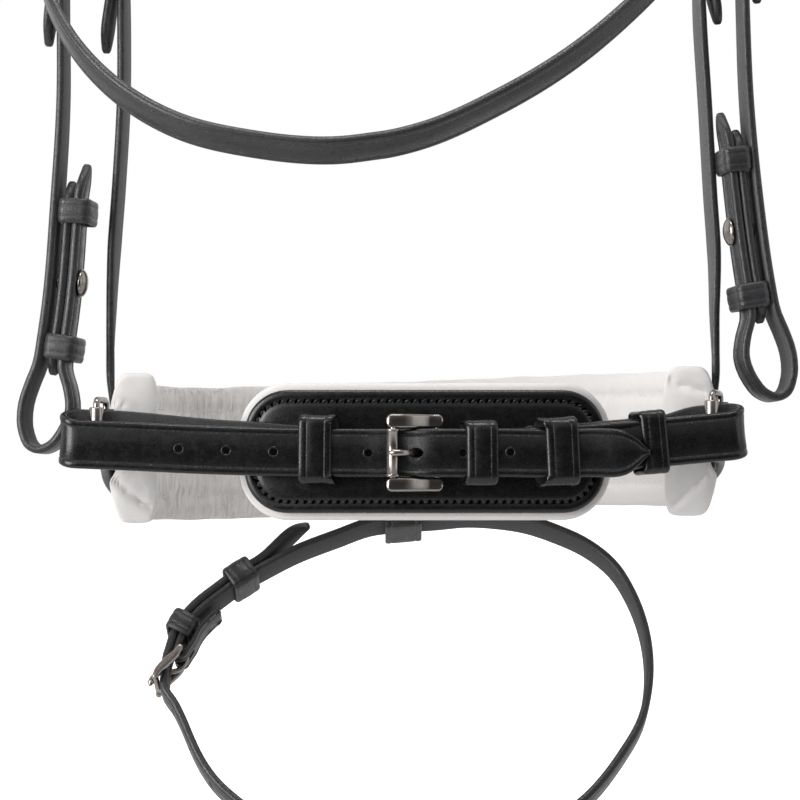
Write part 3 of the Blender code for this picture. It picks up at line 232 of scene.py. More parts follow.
def waxed_thread(name, tone, sheen=0.5):
    made, tree, spot = new_material(name)
    twist = add(tree, "ShaderNodeTexWave", {"Vector": spot, "Scale": 900.0, "Distortion": 1.0},
                bands_direction="DIAGONAL").outputs["Fac"]
    # Painted shade and painted light: the twist's bands scale the thread's colour from 0.7 to 1.4.
    surface(tree, {"Base Color": scaled(tree, tone, remap(tree, twist, 0.0, 1.0, 0.7, 1.4)),
                   "Roughness": 0.32, "Specular IOR Level": sheen, "Normal": bumped(tree, twist, 0.6, 0.0001)})
    return made


STEEL = polished_steel("polished_stainless_steel", "#9b948f", 0.2)
BLACK_THREAD = waxed_thread("waxed_black_thread", "#1a1a1c")
WHITE_THREAD = waxed_thread("waxed_white_thread", "#d9d6d2")
HOLE_SHADE = waxed_thread("shaded_awl_hole", "#020202", sheen=0.0)
print("steel and threads ready")

# %% [markdown]
# ## Sizes
# All sizes are in millimetres, as a saddler measures. X runs across the bridle, Y from the jaw to
# the nose and Z up. The origin is the underside of the crown.

# %% Sizes
# Leather and fit
FIT = 0.3
CURVE_ROOM = 0.45
STRAP_T = 3.5
SKIVED_T = 2.0
HANGER_FOOT_T = 1.6
CROWN_T = 4.5
STRIP_T = 3.4
BILLET_GAP = 0.8
KEEPER_T = 1.8
LOOP_T = 2.2

# Strap widths
CHEEK_W = 16.0
THROAT_W = 16.0
HANGER_W = 13.0
CRANK_W = 20.0
FLASH_W = 16.0
BROW_W = 17.0
SPLIT_GAP = 2.0

# Keeper bands, along the strap
SMALL_BAND = 10.5
CRANK_BAND = 13.6
RUNNER_BAND = 13.0

# Buckles
BAR_R = 1.3
BAR_DEPTH = 1.6
EYE_R = 1.0
TONGUE_R = 1.2
TONGUE_REACH = 8.8
BUCKLE_L = 14.0
CRANK_BUCKLE_L = 18.1
FLASH_BUCKLE_L = 16.0
ROLLER_R = 2.5
ROLLER_BORE_R = 1.7
ROLLER_LIP = 0.5
PLATE_T = 2.4
PLATE_W = 3.2
CRANK_PLATE_T = 3.0
CRANK_PLATE_W = 4.9
PLATE_CLEARANCE = 0.9
CHAPE_L = 18.0
KEEPER_AFTER = 9.0
FLASH_CHAPE_L = 30.0
FLASH_KEEPER = 13.0
FLASH_RUNNER = 48.0
FLASH_TIP = 87.0
LOOP_SLACK = 2.0

# Holes
HOLE_R = 1.5
HOLE_PITCH = 19.4
TONGUE_HOLE_L = 6.4
TONGUE_HOLE_W = 4.2

# Crown and upper straps, as distances along the cheek line from the middle of the crown
CROWN_END = 150.0
BROW_AT = 180.0
CHEEK_BUCKLE_Z = -203.0
HANGER_BUCKLE_Z = -198.0

# Cheekpiece foot, measured up or down from the middle of the lower keeper
KEEPER_SPACING = 57.0
KEEPER_SLACK = 2.2
UPPER_SLACK = {"left": 2.2, "right": 0.0}
STUD_UP = 27.5
TIP_UP = 77.5
STRIP_UP = 70.0
STRIP_DOWN = 12.0
LOOP_DROP = 44.0
LOOP_OUT = 4.0
LOOP_IN = 16.5
STUD_HEAD_R = 6.0
STUD_NECK_R = 2.0

# Noseband and jaw piece
NOSE_LEVEL = -439.0
NOSE_DEPTH = 106.0
NOSE_H = 46.0
NOSE_END_H = 24.4
TAB_T = 1.6
LOOP_X = 1.6
TAB_L = 14.0
HANGER_Y = 12.0
LINING_H = 60.0
LINING_T = 11.0
PAD_L = 150.0
PAD_H = 51.0
PAD_T = 4.0
PAD_CORNER = 18.0
PAD_X = 10.3
PAD_LINING_L = 157.0
PAD_LINING_H = 57.0
PAD_LINING_T = 10.0

# End rings
RING_R = 1.6
RING_H = 34.5
RING_UP = 3.0
RING_ROLLER_R = 3.0
RING_ROLLER_BORE_R = 2.0
RING_ROLLER_L = 21.0

# How far the flash strap's and the throatlash's planes lean towards the jaw
FLASH_LEAN = math.radians(27.0)
THROAT_LEAN = math.radians(28.0)
print("sizes ready")

# %% [markdown]
# ## The lines that the straps follow
# A saddler thinks of a strap as a line with a width: it runs so far, lies so high off the strap below and
# bends there. The same idea keeps this script short. A line gives, at any distance along it, the place and
# the directions along, out of and across the strap, and a strap is a list of stations on its line.

# %% Smooth lines
MM = 0.001
UPRIGHT = (0.0, 0.0, 1.0)


def ease(share):
    return share * share * (3.0 - 2.0 * share)


def within(value, most=1.0):
    return min(most, max(0.0, value))


def distances(points):
    """How far each point lies along the line from the first."""
    far = [0.0]
    for a, b in zip(points, points[1:]):
        far.append(far[-1] + (b - a).length)
    return far


def smooth(points, spacing=1.0):
    """Points on one smooth curve through the given points."""
    spots = [Vector(p) for p in points]
    spans = [(b - a).length for a, b in zip(spots, spots[1:])]
    slopes = [(spots[1] - spots[0]) / spans[0]]
    for i in range(1, len(spots) - 1):
        before = (spots[i] - spots[i - 1]) / spans[i - 1]
        after = (spots[i + 1] - spots[i]) / spans[i]
        slopes.append((before * spans[i] + after * spans[i - 1]) / (spans[i] + spans[i - 1]))
    slopes.append((spots[-1] - spots[-2]) / spans[-1])
    curve = [spots[0]]
    for i, span in enumerate(spans):
        count = max(2, math.ceil(span / spacing))
        for k in range(1, count + 1):
            u = k / count
            start = (2 * u**3 - 3 * u**2 + 1) * spots[i] + (u**3 - 2 * u**2 + u) * span * slopes[i]
            end = (3 * u**2 - 2 * u**3) * spots[i + 1] + (u**3 - u**2) * span * slopes[i + 1]
            curve.append(start + end)
    return curve


class Line:
    """A smooth line. A place on it is s along, n out of the strap's face and w across, in millimetres."""

    def __init__(self, points, across, side=1.0):
        self.curve, self.side = smooth(points), side
        self.far = distances(self.curve)
        turns = [Vector(v).normalized() for v in across]
        self.across = turns if len(turns) > 1 else turns * 2
        last = len(self.curve) - 1
        self.slopes = [(self.curve[min(i + 1, last)] - self.curve[max(i - 1, 0)]).normalized()
                       for i in range(last + 1)]

    def frame(self, s):
        i = int(np.clip(np.searchsorted(self.far, s) - 1, 0, len(self.far) - 2))
        share = (s - self.far[i]) / (self.far[i + 1] - self.far[i])
        place = self.curve[i].lerp(self.curve[i + 1], share)
        here = self.slopes[i].lerp(self.slopes[i + 1], within(share)).normalized()
        turn = within(s / self.far[-1]) * (len(self.across) - 1)
        k = min(int(turn), len(self.across) - 2)
        wide = self.across[k].lerp(self.across[k + 1], turn - k)
        wide = (wide - here * here.dot(wide)).normalized()
        return place, here, here.cross(wide) * self.side, wide

    def point(self, s, n=0.0, w=0.0):
        place, _, out, wide = self.frame(s)
        return place + out * n + wide * w

    def find(self, axis, value, after=0.0):
        for i in range(len(self.curve) - 1):
            a, b = self.curve[i][axis], self.curve[i + 1][axis]
            if self.far[i + 1] > after and (a - value) * (b - value) <= 0.0 and a != b:
                return self.far[i] + (self.far[i + 1] - self.far[i]) * (value - a) / (b - a)
        raise ValueError("the line doesn't pass that value")


def station(s, n, thickness=STRAP_T, w=0.0):
    return s, n, thickness, w


def run(line, stations):
    """Samples of a strap through stations (s, n, thickness, w), easing from one to the next."""
    stops = [station(*given) for given in stations]
    samples = []
    for (s0, n0, t0, w0), (s1, n1, t1, w1) in zip(stops, stops[1:]):
        count = max(1, math.ceil(abs(s1 - s0)))
        for k in range(count):
            u = k / count
            bend = ease(u)
            s = s0 + (s1 - s0) * u
            place = line.point(s, n0 + (n1 - n0) * bend, w0 + (w1 - w0) * bend)
            samples.append((place, line.frame(s)[3], t0 + (t1 - t0) * bend))
    s, n, t, w = stops[-1]
    return samples + [(line.point(s, n, w), line.frame(s)[3], t)]


def fold(line, s, n_from, n_to, thickness, reach, steps=14, w_from=0.0, w_to=0.0):
    """Samples of a half-circle fold from one offset to another, bulging along the line."""
    _, along, out, wide = line.frame(s)
    middle, radius = (n_from + n_to) / 2, (n_from - n_to) / 2
    samples = []
    for k in range(1, steps):
        angle = math.pi * k / steps
        place = line.point(s, middle, w_from + (w_to - w_from) * ease(k / steps))
        place = place + along * (reach * abs(radius) * math.sin(angle))
        samples.append((place + out * (radius * math.cos(angle)), wide, thickness))
    return samples


print("lines ready")

# %% [markdown]
# ## Sweeping a strap
# A strap is cut from a hide with a strap cutter, its arrises are bevelled and burnished, and a heated
# creaser draws a line in its face near each edge. The cross-section below has all of that. A keeper has a
# rounder one, with a faint crease. The section is swept along the strap's samples, closer where they bend.
# The path is first softened a little, as leather does not kink.

# %% Cross-sections
EDGE_STEPS = [(0.1, 0.32), (0.36, 0.16), (0.75, 0.06), (1.25, 0.01), (1.7, 0.0)]
CREASE_STEPS = [(-0.55, 0.0), (-0.24, 0.17), (0.0, 0.27), (0.24, 0.15), (0.55, 0.0)]
BACK_STEPS = [(0.12, 0.28), (0.45, 0.1), (1.0, 0.0)]
CREASE_IN = 3.0
KEEPER_CREASE_IN = 3.2


def mirrored(part):
    return [(-x, n, side, rim) for x, n, side, rim in part]


def closed_section(half, thick, right, crown, scale):
    """Points (across, out, side, how far in from the edge) round a strap, from its right shoulder."""
    under = [(half - d * scale, thick * (b - 0.5), 0.5 - 0.5 * min(1.0, d), d / 3.5) for d, b in BACK_STEPS]
    face = [(half, 0.0, 0.5, 0.0)] + right + [(0.0, thick / 2 + crown, 1.0, 1.0)] + mirrored(right[::-1])
    return face + [(-half, 0.0, 0.5, 0.0)] + mirrored(under) + [(0.0, -thick / 2, 0.0, 1.0)] + under[::-1]


def strap_section(half, thick):
    """A strap with bevelled edges and a crease along each."""
    scale = min(1.0, half / 4.5)
    right = [(half - d * scale, thick * (0.5 - b), 0.6 + 0.4 * min(1.0, d), d / 3.5) for d, b in EDGE_STEPS]
    right += [(half - (CREASE_IN + d) * scale, thick / 2 - b * scale, 1.0 - 0.75 * b, 1.0)
              for d, b in CREASE_STEPS]
    return closed_section(half, thick, right, 0.05 * scale, scale)


def keeper_section(half, thick):
    """A keeper of thicker, softer leather: round shoulders, a slight crown and a faint crease."""
    right = [(half - 1.35 * d, thick * (0.5 - 1.25 * b), 0.6 + 0.4 * min(1.0, d), d / 3.5)
             for d, b in EDGE_STEPS]
    crease = min(KEEPER_CREASE_IN, half * 0.58)
    right += [(half - crease - 0.8 * d, thick / 2 - 0.55 * b, 1.0 - 0.4 * b, 1.0) for d, b in CREASE_STEPS]
    return closed_section(half, thick, right, 0.14, 1.0)


def metal_section(half, thick):
    """A bar of cast steel with well-rounded arrises."""
    t = thick / 2
    r = min(0.95, t * 0.8, half * 0.8)
    right = [(half - r + r * math.cos(a), t - r + r * math.sin(a), 1.0, 1.0)
             for a in [math.radians(18 * k) for k in range(6)]]
    top = right + mirrored(right[::-1])
    return top + [(-x, -n, side, rim) for x, n, side, rim in top]


def pointed(width, length):
    return length, lambda d: width / 2 * max(0.13, 1 - (1 - min(d / length, 1)) ** 2.5)


def rounded_end(width, radius):
    return radius, lambda d: (width / 2 - radius
                              + math.sqrt(max(0.0, radius**2 - max(0.0, radius - d) ** 2)))


def tapered(width, end_width, length):
    return length, lambda d: (end_width + (width - end_width) * ease(min(d / length, 1))) / 2


print("strap section:", len(strap_section(10.0, 3.5)), "points round")


# %% Paths
GRID = 0.5                                        # spacing of a path's own points
BEND_STEP, LONG_STEP, NEAR = 7.0, 3.0, 0.35       # most turn, in degrees, and most and least gap of two rings


class Path:
    """A strap's own centre line, evened out to half-millimetre steps and softened."""

    def __init__(self, samples, flip=1.0, closed=False, soften=0.9):
        rows = np.array([[*p, *w, t] for p, w, t in samples], float)
        if closed:
            rows = np.vstack([rows, rows[:1]])
        gap = np.linalg.norm(np.diff(rows[:, :3], axis=0), axis=1)
        rows = rows[np.r_[True, gap > 1e-6]]
        far = np.r_[0.0, np.cumsum(np.linalg.norm(np.diff(rows[:, :3], axis=0), axis=1))]
        self.far = np.linspace(0.0, far[-1], int(far[-1] / GRID) + 2)
        even = np.stack([np.interp(self.far, far, rows[:, k]) for k in range(7)], axis=1)
        reach = int(3 * soften / GRID)
        bell = np.exp(-0.5 * (np.arange(-reach, reach + 1) * GRID / soften) ** 2)
        bell /= bell.sum()
        if closed:
            wide = np.vstack([even[-reach - 1:-1], even, even[1:reach + 1]])
        else:
            wide = np.vstack([2 * even[0] - even[reach:0:-1], even, 2 * even[-1] - even[-2:-reach - 2:-1]])
        even = np.stack([np.convolve(wide[:, k], bell, "valid") for k in range(7)], axis=1)
        self.closed = closed
        self.place, self.thick = even[:, :3], even[:, 6]
        if closed:
            around = np.vstack([even[-2:-1, :3], even[:, :3], even[1:2, :3]])
            along = around[2:] - around[:-2]
        else:
            along = np.gradient(self.place, axis=0)
        self.along = along / np.linalg.norm(along, axis=1)[:, None]
        across = even[:, 3:6] - self.along * (even[:, 3:6] * self.along).sum(1)[:, None]
        self.across = across / np.linalg.norm(across, axis=1)[:, None]
        self.out = np.cross(self.along, self.across) * flip

    def at(self, s):
        """The place at a distance along the strap, with its directions across and out."""
        return [np.array([np.interp(s, self.far, table[:, k]) for k in range(3)])
                for table in (self.place, self.across, self.out)]

    def rings(self, extra):
        """Distances for the rings: close in bends, wide apart on straight stretches."""
        keep, last, bend = [0.0], 0.0, 0.0
        for i in range(1, len(self.far)):
            bend += math.degrees(sum(math.acos(min(1.0, float(table[i] @ table[i - 1])))
                                     for table in (self.along, self.across)))
            if bend >= BEND_STEP or self.far[i] - last >= LONG_STEP:
                keep.append(float(self.far[i]))
                last, bend = float(self.far[i]), 0.0
        end = float(self.far[-1])
        marks = [m for m in extra if 0.0 < m < end]
        keep = [d for d in keep if all(abs(d - m) > NEAR for m in marks) and d < end - NEAR]
        return sorted({0.0, *keep, *marks} | (set() if self.closed else {end}))


print("a path measures any line of points")

# %% Meshes and sweeps
SHARP = math.radians(48)


def put(name, data):
    """A new object in the scene."""
    made = bpy.data.objects.new(name, data)
    bpy.context.scene.collection.objects.link(made)
    return made


def skin(rings, around, closed=False):
    """Faces from ring to ring of points, and one over each end unless the rings close."""
    faces = []
    for i in range(rings if closed else rings - 1):
        a, b = i * around, (i + 1) % rings * around
        for k in range(around):
            j = (k + 1) % around
            faces.append((a + k, a + j, b + j, b + k))
    if not closed:
        faces += [tuple(range(around)), tuple(range((rings - 1) * around, rings * around))]
    return faces


def piece(name, points, faces, material, lay=None, side=None):
    """A mesh object from points in millimetres, outward faces, with its two UV maps if it has them."""
    mesh = bpy.data.meshes.new(name)
    mesh.from_pydata([tuple(p * MM) for p in points], [], faces)
    shape = bmesh.new()
    shape.from_mesh(mesh)
    bmesh.ops.recalc_face_normals(shape, faces=shape.faces)
    shape.to_mesh(mesh)
    shape.free()
    if side is not None:
        corner = np.zeros(len(mesh.loops), int)
        mesh.loops.foreach_get("vertex_index", corner)
        for label, values in (("lay", lay), ("side", side)):
            layer = mesh.uv_layers.new(name=label)
            layer.data.foreach_set("uv", np.array(values, np.float32)[corner].ravel())
    mesh.shade_smooth()
    mesh.set_sharp_from_angle(angle=SHARP)
    mesh.materials.append(material)
    return put(name, mesh)


def sweep(name, path, width, leather, start=None, end=None, section=strap_section):
    """One strap mesh along its path, with its lay and its side written as UV maps."""
    total = float(path.far[-1])
    ends = [(shape, last) for shape, last in ((start, False), (end, True)) if shape]
    marks = []
    for (length, _), last in ends:
        steps = max(6, int(length / 1.2))
        near = [length * (1 - math.cos(k * math.pi / 2 / steps)) for k in range(1, steps + 1)] + [0.12, 0.35]
        marks += [total - d if last else d for d in near]
    rows = path.rings(marks)
    points, lay, side = [], [], []
    for d in rows:
        half = min([width / 2] + [shape[1](total - d if last else d) for shape, last in ends])
        thick = float(np.interp(d, path.far, path.thick))
        if not path.closed:
            thick *= 0.5 + 0.5 * math.sqrt(min(1.0, min(d, total - d) / 1.1))
        place, across, out = path.at(d)
        for x, n, which, rim in section(half, thick):
            points.append(place + across * x + out * n)
            lay.append((d * MM, x * MM))
            side.append((which, min(1.0, rim)))
    faces = skin(len(rows), len(points) // len(rows), path.closed)
    return piece(name, points, faces, leather, lay, side)


print("sweeps ready")

# %% [markdown]
# ## Joining, cutting and handing over
# Holes are punched with a Boolean, as a punch does, and slots are cut with a box. When a piece is done, one
# call says which body it moves with and which solids it stands for.

# %% Cutting and handing over
MADE = {}
NO_LAY = (0.0, 0.0)


def settle(obj):
    """The object with its modifiers applied to a plain mesh."""
    seen = obj.evaluated_get(bpy.context.evaluated_depsgraph_get())
    mesh = bpy.data.meshes.new_from_object(seen)
    obj.modifiers.clear()
    old, obj.data = obj.data, mesh
    bpy.data.meshes.remove(old)
    mesh.name = obj.name
    return obj


def merge(name, objects):
    """Several objects as one mesh object."""
    shape = bmesh.new()
    for obj in objects:
        shape.from_mesh(obj.data)
    mesh = bpy.data.meshes.new(name)
    shape.to_mesh(mesh)
    shape.free()
    for material in dict.fromkeys(m for obj in objects for m in obj.data.materials):
        mesh.materials.append(material)
    for obj in objects:
        bpy.data.objects.remove(obj)
    return put(name, mesh)


def cut(obj, *cutters):
    """Takes the cutters out of a piece, all in one Boolean."""
    tool = merge("cutter", cutters)
    step = obj.modifiers.new("cut", "BOOLEAN")
    step.operation, step.solver, step.object = "DIFFERENCE", "EXACT", tool
    settle(obj)
    obj.data.set_sharp_from_angle(angle=SHARP)
    bpy.data.objects.remove(tool)
    return obj


def punch(line, s, half_long, half_wide, n=0.0, depth=2.6):
    """A round or oval cutter through a strap."""
    place, ahead, out, wide = line.frame(s)
    points, count = [], 24
    for reach in (-depth, depth):
        for k in range(count):
            angle = 2 * math.pi * k / count
            spoke = wide * (half_wide * math.sin(angle)) + ahead * (half_long * math.cos(angle))
            points.append(place + out * (n + reach) + spoke)
    inside = [NO_LAY] * len(points)
    return piece("punch", points, skin(2, count), CRANK_LEATHER, inside, inside)


def block(line, s, along, out_by, across):
    """A box cutter placed on a line, given as three spans."""
    place, ahead, out, wide = line.frame(s)
    corners = [place + ahead * a + out * b + wide * c for a in along for b in out_by for c in across]
    faces = [(0, 1, 3, 2), (4, 6, 7, 5), (0, 4, 5, 1), (2, 3, 7, 6), (0, 2, 6, 4), (1, 5, 7, 3)]
    inside = [NO_LAY] * 8
    return piece("block", corners, faces, CRANK_LEATHER, inside, inside)


def hand_over(obj, node=None, body="bridle"):
    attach(obj, body)
    if node:
        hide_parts(node)
    MADE[obj.name] = len(obj.data.polygons)
    return obj


print("tools ready")

# %% [markdown]
# ## Where the straps run
# The lines run through points that were read off the bridle: the arch over the crown, the cheeks down to
# the bit, the noseband round the nose, the straight jaw line and the leaning loop of the flash strap.

# %% Cheeks and noseband
LEVEL = (0.0, 1.0, 0.0)
SIGN = {"left": -1.0, "right": 1.0}
REAR = -(CHEEK_W + THROAT_W) / 2 - SPLIT_GAP

TOP_Z = STRAP_T + FIT + CROWN_T / 2
ARCH = [(0.0, TOP_Z), (8.0, TOP_Z - 0.2), (22.0, TOP_Z - 1.6), (42.0, TOP_Z - 5.9), (78.0, -16.5), (108.0, -46.0),
        (126.5, -84.0), (136.0, -125.0)]
CHEEK_FOOT = {
    "left": [(-140.5, -165.0), (-141.8, -190.0), (-142.3, -215.0), (-142.4, -250.0),
             (-142.4, -293.0), (-144.8, -335.0), (-148.2, -378.0), (-151.6, -402.0)],
    "right": [(141.0, -165.0), (142.8, -190.0), (144.0, -215.0), (144.9, -250.0),
              (146.6, -293.0), (150.5, -335.0), (154.0, -362.0), (157.4, -382.0)],
}
LOWER_KEEPER_Z = {"left": -395.5, "right": -373.5}
CHEEK_TURN = {"left": 7.5, "right": -9.0}


def cheek_line(side):
    points = [(SIGN[side] * x, 0.0, z) for x, z in ARCH] + [(x, 0.0, z) for x, z in CHEEK_FOOT[side]]
    turn = math.radians(CHEEK_TURN[side])
    return Line(points, [LEVEL, LEVEL, (math.sin(turn), math.cos(turn), 0.0)], SIGN[side])


CHEEK = {side: cheek_line(side) for side in SIGN}
CHEEK_BUCKLE = {side: CHEEK[side].find(2, CHEEK_BUCKLE_Z) for side in SIGN}

NOSE_PLAN = [(-123.0, -12.0, 0.2), (-124.8, 2.0, 0.0), (-126.6, 16.0, -0.3), (-127.4, 30.0, -0.7),
             (-121.0, 57.0, -1.4), (-99.0, 84.0, -2.0), (-52.0, 101.0, -0.6), (5.5, 106.0, 1.4),
             (63.0, 101.0, 3.6), (110.0, 84.0, 4.7), (132.0, 57.0, 4.4), (138.6, 30.0, 3.7),
             (137.8, 16.0, 3.4), (136.0, 2.0, 3.1), (134.0, -12.0, 2.9)]
NOSE = Line([(x, y, NOSE_LEVEL + up) for x, y, up in NOSE_PLAN], [UPRIGHT], -1.0)
NOSE_L = NOSE.far[-1]
TAIL_N = -STRAP_T / 2 - FIT - SKIVED_T / 2
HANGER_AT = {"left": NOSE.find(1, HANGER_Y), "right": NOSE.find(1, HANGER_Y, after=NOSE_L / 2)}
print("noseband:", round(NOSE_L), "mm long")


# %% Carrying straps' lines
HANGER_LOW = {
    "left": [(-123.6, 9.0, -130.0), (-120.6, 12.0, -160.0), (-119.0, 12.0, -185.0), (-118.4, 12.0, -212.0),
             (-118.0, 12.0, -250.0), (-118.2, 12.0, -292.0), (-120.1, 12.0, -326.0),
             (-122.4, 12.0, -358.0), (-123.4, 12.0, -384.0)],
    "right": [(126.5, 9.0, -130.0), (126.6, 12.0, -160.0), (126.9, 12.0, -185.0), (127.3, 12.0, -212.0),
              (127.9, 12.0, -250.0), (130.4, 12.0, -292.0), (132.6, 12.0, -330.0),
              (134.4, 12.0, -358.0), (134.4, 12.0, -384.0)],
}


def hanger_line(side):
    """The noseband's carrying strap: under the crown, then clear of the cheek, down to the noseband."""
    under = -(CROWN_T / 2 + FIT + STRAP_T / 2)
    last = BROW_AT + 8.0
    points = []
    for s in [15.0 * k for k in range(12)] + [last]:
        points.append(CHEEK[side].point(s, under, REAR / 2 + 11.0 * ease(max(0.0, s - 60.0) / (last - 60.0))))
    sewn = NOSE.point(HANGER_AT[side], TAIL_N)
    points += HANGER_LOW[side] + [(sewn.x, sewn.y, NOSE_LEVEL + up) for up in (31.0, 9.0, -9.0)]
    turned_in = (-0.15 * SIGN[side], 1.0, 0.0)
    flat = NOSE.frame(HANGER_AT[side])[1] * -SIGN[side]
    return Line(points, [LEVEL] * 7 + [turned_in] * 3 + [flat] * 2, SIGN[side])


HANGER = {side: hanger_line(side) for side in SIGN}
HANGER_BUCKLE = {side: HANGER[side].find(2, HANGER_BUCKLE_Z) for side in SIGN}
print("carrying straps:", [round(line.far[-1]) for line in HANGER.values()], "mm from the crown's middle")


# %% Throatlash's line
def throat_place(x, down):
    """A point on the plane that the throatlash hangs in."""
    return (x, -30.0 - down * math.sin(THROAT_LEAN), -195.0 - down * math.cos(THROAT_LEAN))


THROAT_TOP = {
    "left": [(-145.5, -20.5, -150.0), (-153.6, -22.0, -172.0)],
    "right": [(147.0, -19.0, -138.0), (151.5, -21.0, -166.0)],
}
THROAT_HANG = {
    "left": [(-157.4, -4.0), (-155.3, 8.0), (-153.2, 20.0), (-151.1, 32.0), (-145.0, 58.0), (-137.0, 81.0),
             (-126.0, 101.0), (-107.0, 122.0), (-85.0, 136.0), (-57.0, 144.0), (-25.0, 147.0), (-5.0, 144.2)],
    "right": [(148.5, -10.0), (142.3, 1.0), (136.1, 12.0), (129.9, 23.0), (121.0, 38.8), (106.0, 62.0),
              (90.0, 81.0), (67.0, 103.5), (38.7, 124.0), (7.7, 140.4), (-5.0, 144.2), (-25.0, 147.0)],
}


def throat_line(side):
    points = [CHEEK[side].point(s, 0.0, REAR) for s in (CROWN_END - 15, CROWN_END, 165.0, BROW_AT, 195.0)]
    points += THROAT_TOP[side] + [throat_place(x, down) for x, down in THROAT_HANG[side]]
    leaned = (0.0, math.cos(THROAT_LEAN), -math.sin(THROAT_LEAN))
    return Line(points, [LEVEL] * 2 + [leaned] * 4, SIGN[side])


THROAT = {side: throat_line(side) for side in SIGN}
THROAT_BUCKLE = {side: THROAT[side].find(2, throat_place(0.0, down)[2])
                 for side, down in (("left", 16.0), ("right", 13.0))}
print("throatlash: buckles at", [round(s) for s in THROAT_BUCKLE.values()], "mm")


# %% Flash strap's line
FLASH_Y = NOSE_DEPTH + 5.2
FLASH_Z = NOSE_LEVEL - 37.0
FLASH_TURN = [(-100.8, 88.8), (-105.0, 79.8), (-104.0, 72.2), (-100.6, 63.6), (-99.0, 56.8), (-96.4, 50.4),
              (-90.6, 42.8), (-81.6, 34.8), (-72.6, 27.4), (-62.4, 21.0), (-48.9, 13.2), (-28.3, 4.3),
              (-14.0, -1.4), (1.6, -3.4), (17.0, -4.6), (31.0, -6.0), (45.0, -5.2), (58.0, -3.0),
              (71.8, 2.0), (87.3, 10.2), (98.4, 20.6), (105.5, 33.6), (110.3, 48.2), (112.6, 66.0),
              (111.9, 79.5), (107.4, 97.4), (98.8, 112.4), (82.0, 133.4), (51.0, 153.0), (14.0, 163.0),
              (-20.0, 160.0), (-50.0, 149.0), (-72.2, 134.5), (-82.4, 124.5), (-88.4, 115.5),
              (-92.6, 107.0), (-96.6, 97.6)]
FLASH_HEEL, FLASH_AGAIN = 3, 14                   # the buckle's point, and the points of the second turn


def flash_place(x, down):
    """A point on the leaning plane of the flash strap."""
    return (x, FLASH_Y - down * math.sin(FLASH_LEAN), FLASH_Z - down * math.cos(FLASH_LEAN))


FLASH = Line([flash_place(x, down) for x, down in FLASH_TURN + FLASH_TURN[:FLASH_AGAIN]],
             [(0.0, math.cos(FLASH_LEAN), -math.sin(FLASH_LEAN))], 1.0)
FLASH_BUCKLE = FLASH.find(2, flash_place(*FLASH_TURN[FLASH_HEEL])[2])
print("flash strap:", round(FLASH.far[-1]), "mm with its overlap")


# %% Jaw line, rings and crank strap
JAW_Y = -35.0
JAW_PLAN = [(-150.0, 2.0), (-118.0, 0.8), (-84.0, -0.8), (-40.0, -2.0), (-12.0, -2.2), (10.0, -2.2), (38.0, -2.1),
            (72.0, -0.8), (100.0, 1.4), (128.0, 4.0), (152.0, 6.0)]
JAW = Line([(x, JAW_Y, NOSE_LEVEL + up) for x, up in JAW_PLAN], [UPRIGHT], 1.0)
CRANK_S = JAW.find(0, 15.2)

RING_X = {"left": -125.0, "right": 128.4}
ROLLER_N = -(STRAP_T / 2 + FIT + RING_ROLLER_R)
RING_N = 2 * ROLLER_N
OVER_RUNNER = STRAP_T + KEEPER_T + 2 * FIT
FAR_N = -OVER_RUNNER
PAD_N = FAR_N - STRAP_T / 2 - FIT
BEND_X = {"left": -133.0, "right": 135.4}
FAR_RUN = {
    "left": [(-24.0, FAR_N, 1.0), (-46.0, FAR_N, 1.6), (-60.0, FAR_N, 2.4), (-121.0, RING_N, 4.6)],
    "right": [(50.0, FAR_N, 1.0), (74.0, FAR_N, 1.0), (107.0, FAR_N, 1.0), (125.0, RING_N, 3.8)],
}
CRANK_TIP_X, TIP_DOWN = 101.7, -3.5
PAD_KEEPER_X = {"left": -33.4, "right": 64.0}
RUNNER_X = {"inner": 32.2, "outer": 102.4}
LOOSE = 3.6


def ring_centre(side):
    """Middle of the ring's near bar."""
    return JAW.point(JAW.find(0, RING_X[side]), ROLLER_N) + Vector((0.0, 0.0, RING_UP))


def crank_loop(side):
    """Samples out along the far run to the ring and round the bend to the near run."""
    bend, up = JAW.find(0, BEND_X[side]), FAR_RUN[side][-1][2]
    stations = [(JAW.find(0, x), n, STRAP_T, high) for x, n, high in FAR_RUN[side]]
    return (run(JAW, stations + [(bend, RING_N, STRAP_T, up)])
            + fold(JAW, bend, RING_N, 0.0, STRAP_T, SIGN[side], 10, up, 0.0))


def jaw_line(depth):
    """The padded piece's own line: flat in the middle, its ends easing back round the jaw."""
    points = []
    for share in [0.25 * k for k in range(-4, 5)]:
        back = 5.0 * max(0.0, abs(share) - 0.45) ** 2 / 0.3
        points.append((PAD_X + share * (PAD_LINING_L / 2 + 2.0), JAW_Y - depth + back, NOSE_LEVEL - 1.6))
    return Line(points, [UPRIGHT], 1.0)


print("routes ready")

# %% [markdown]
# ## Strap ends
# A strap's end folds round the heel bar of a buckle and is sewn down on itself: that is its chape. The other
# end, the billet, dips under the buckle's front bar, rises over the heel bar and lies on the sewn part.

# %% Chapes, billets and tongues
FOLD_EASE = 7.0                                   # how far from a fold the strap has its full thickness again
CLEAR = 7.5                                       # where a strap goes on beyond its chape's samples


def rest_n(share):
    """Offset of a billet in its buckle, from the front bar (0) to over the heel bar (1)."""
    over = -BAR_DEPTH + BAR_R + FIT + SKIVED_T + FIT + STRAP_T / 2
    under = over - 2.85
    return under + (over - under) * ease(share)


HOLE_N = (rest_n(0.0) + rest_n(1.0)) / 2


def front_offset(front_r):
    """How far out the front bar's centre lies from the heel bar's centre."""
    return BAR_DEPTH + rest_n(0.0) + STRAP_T / 2 + FIT + front_r


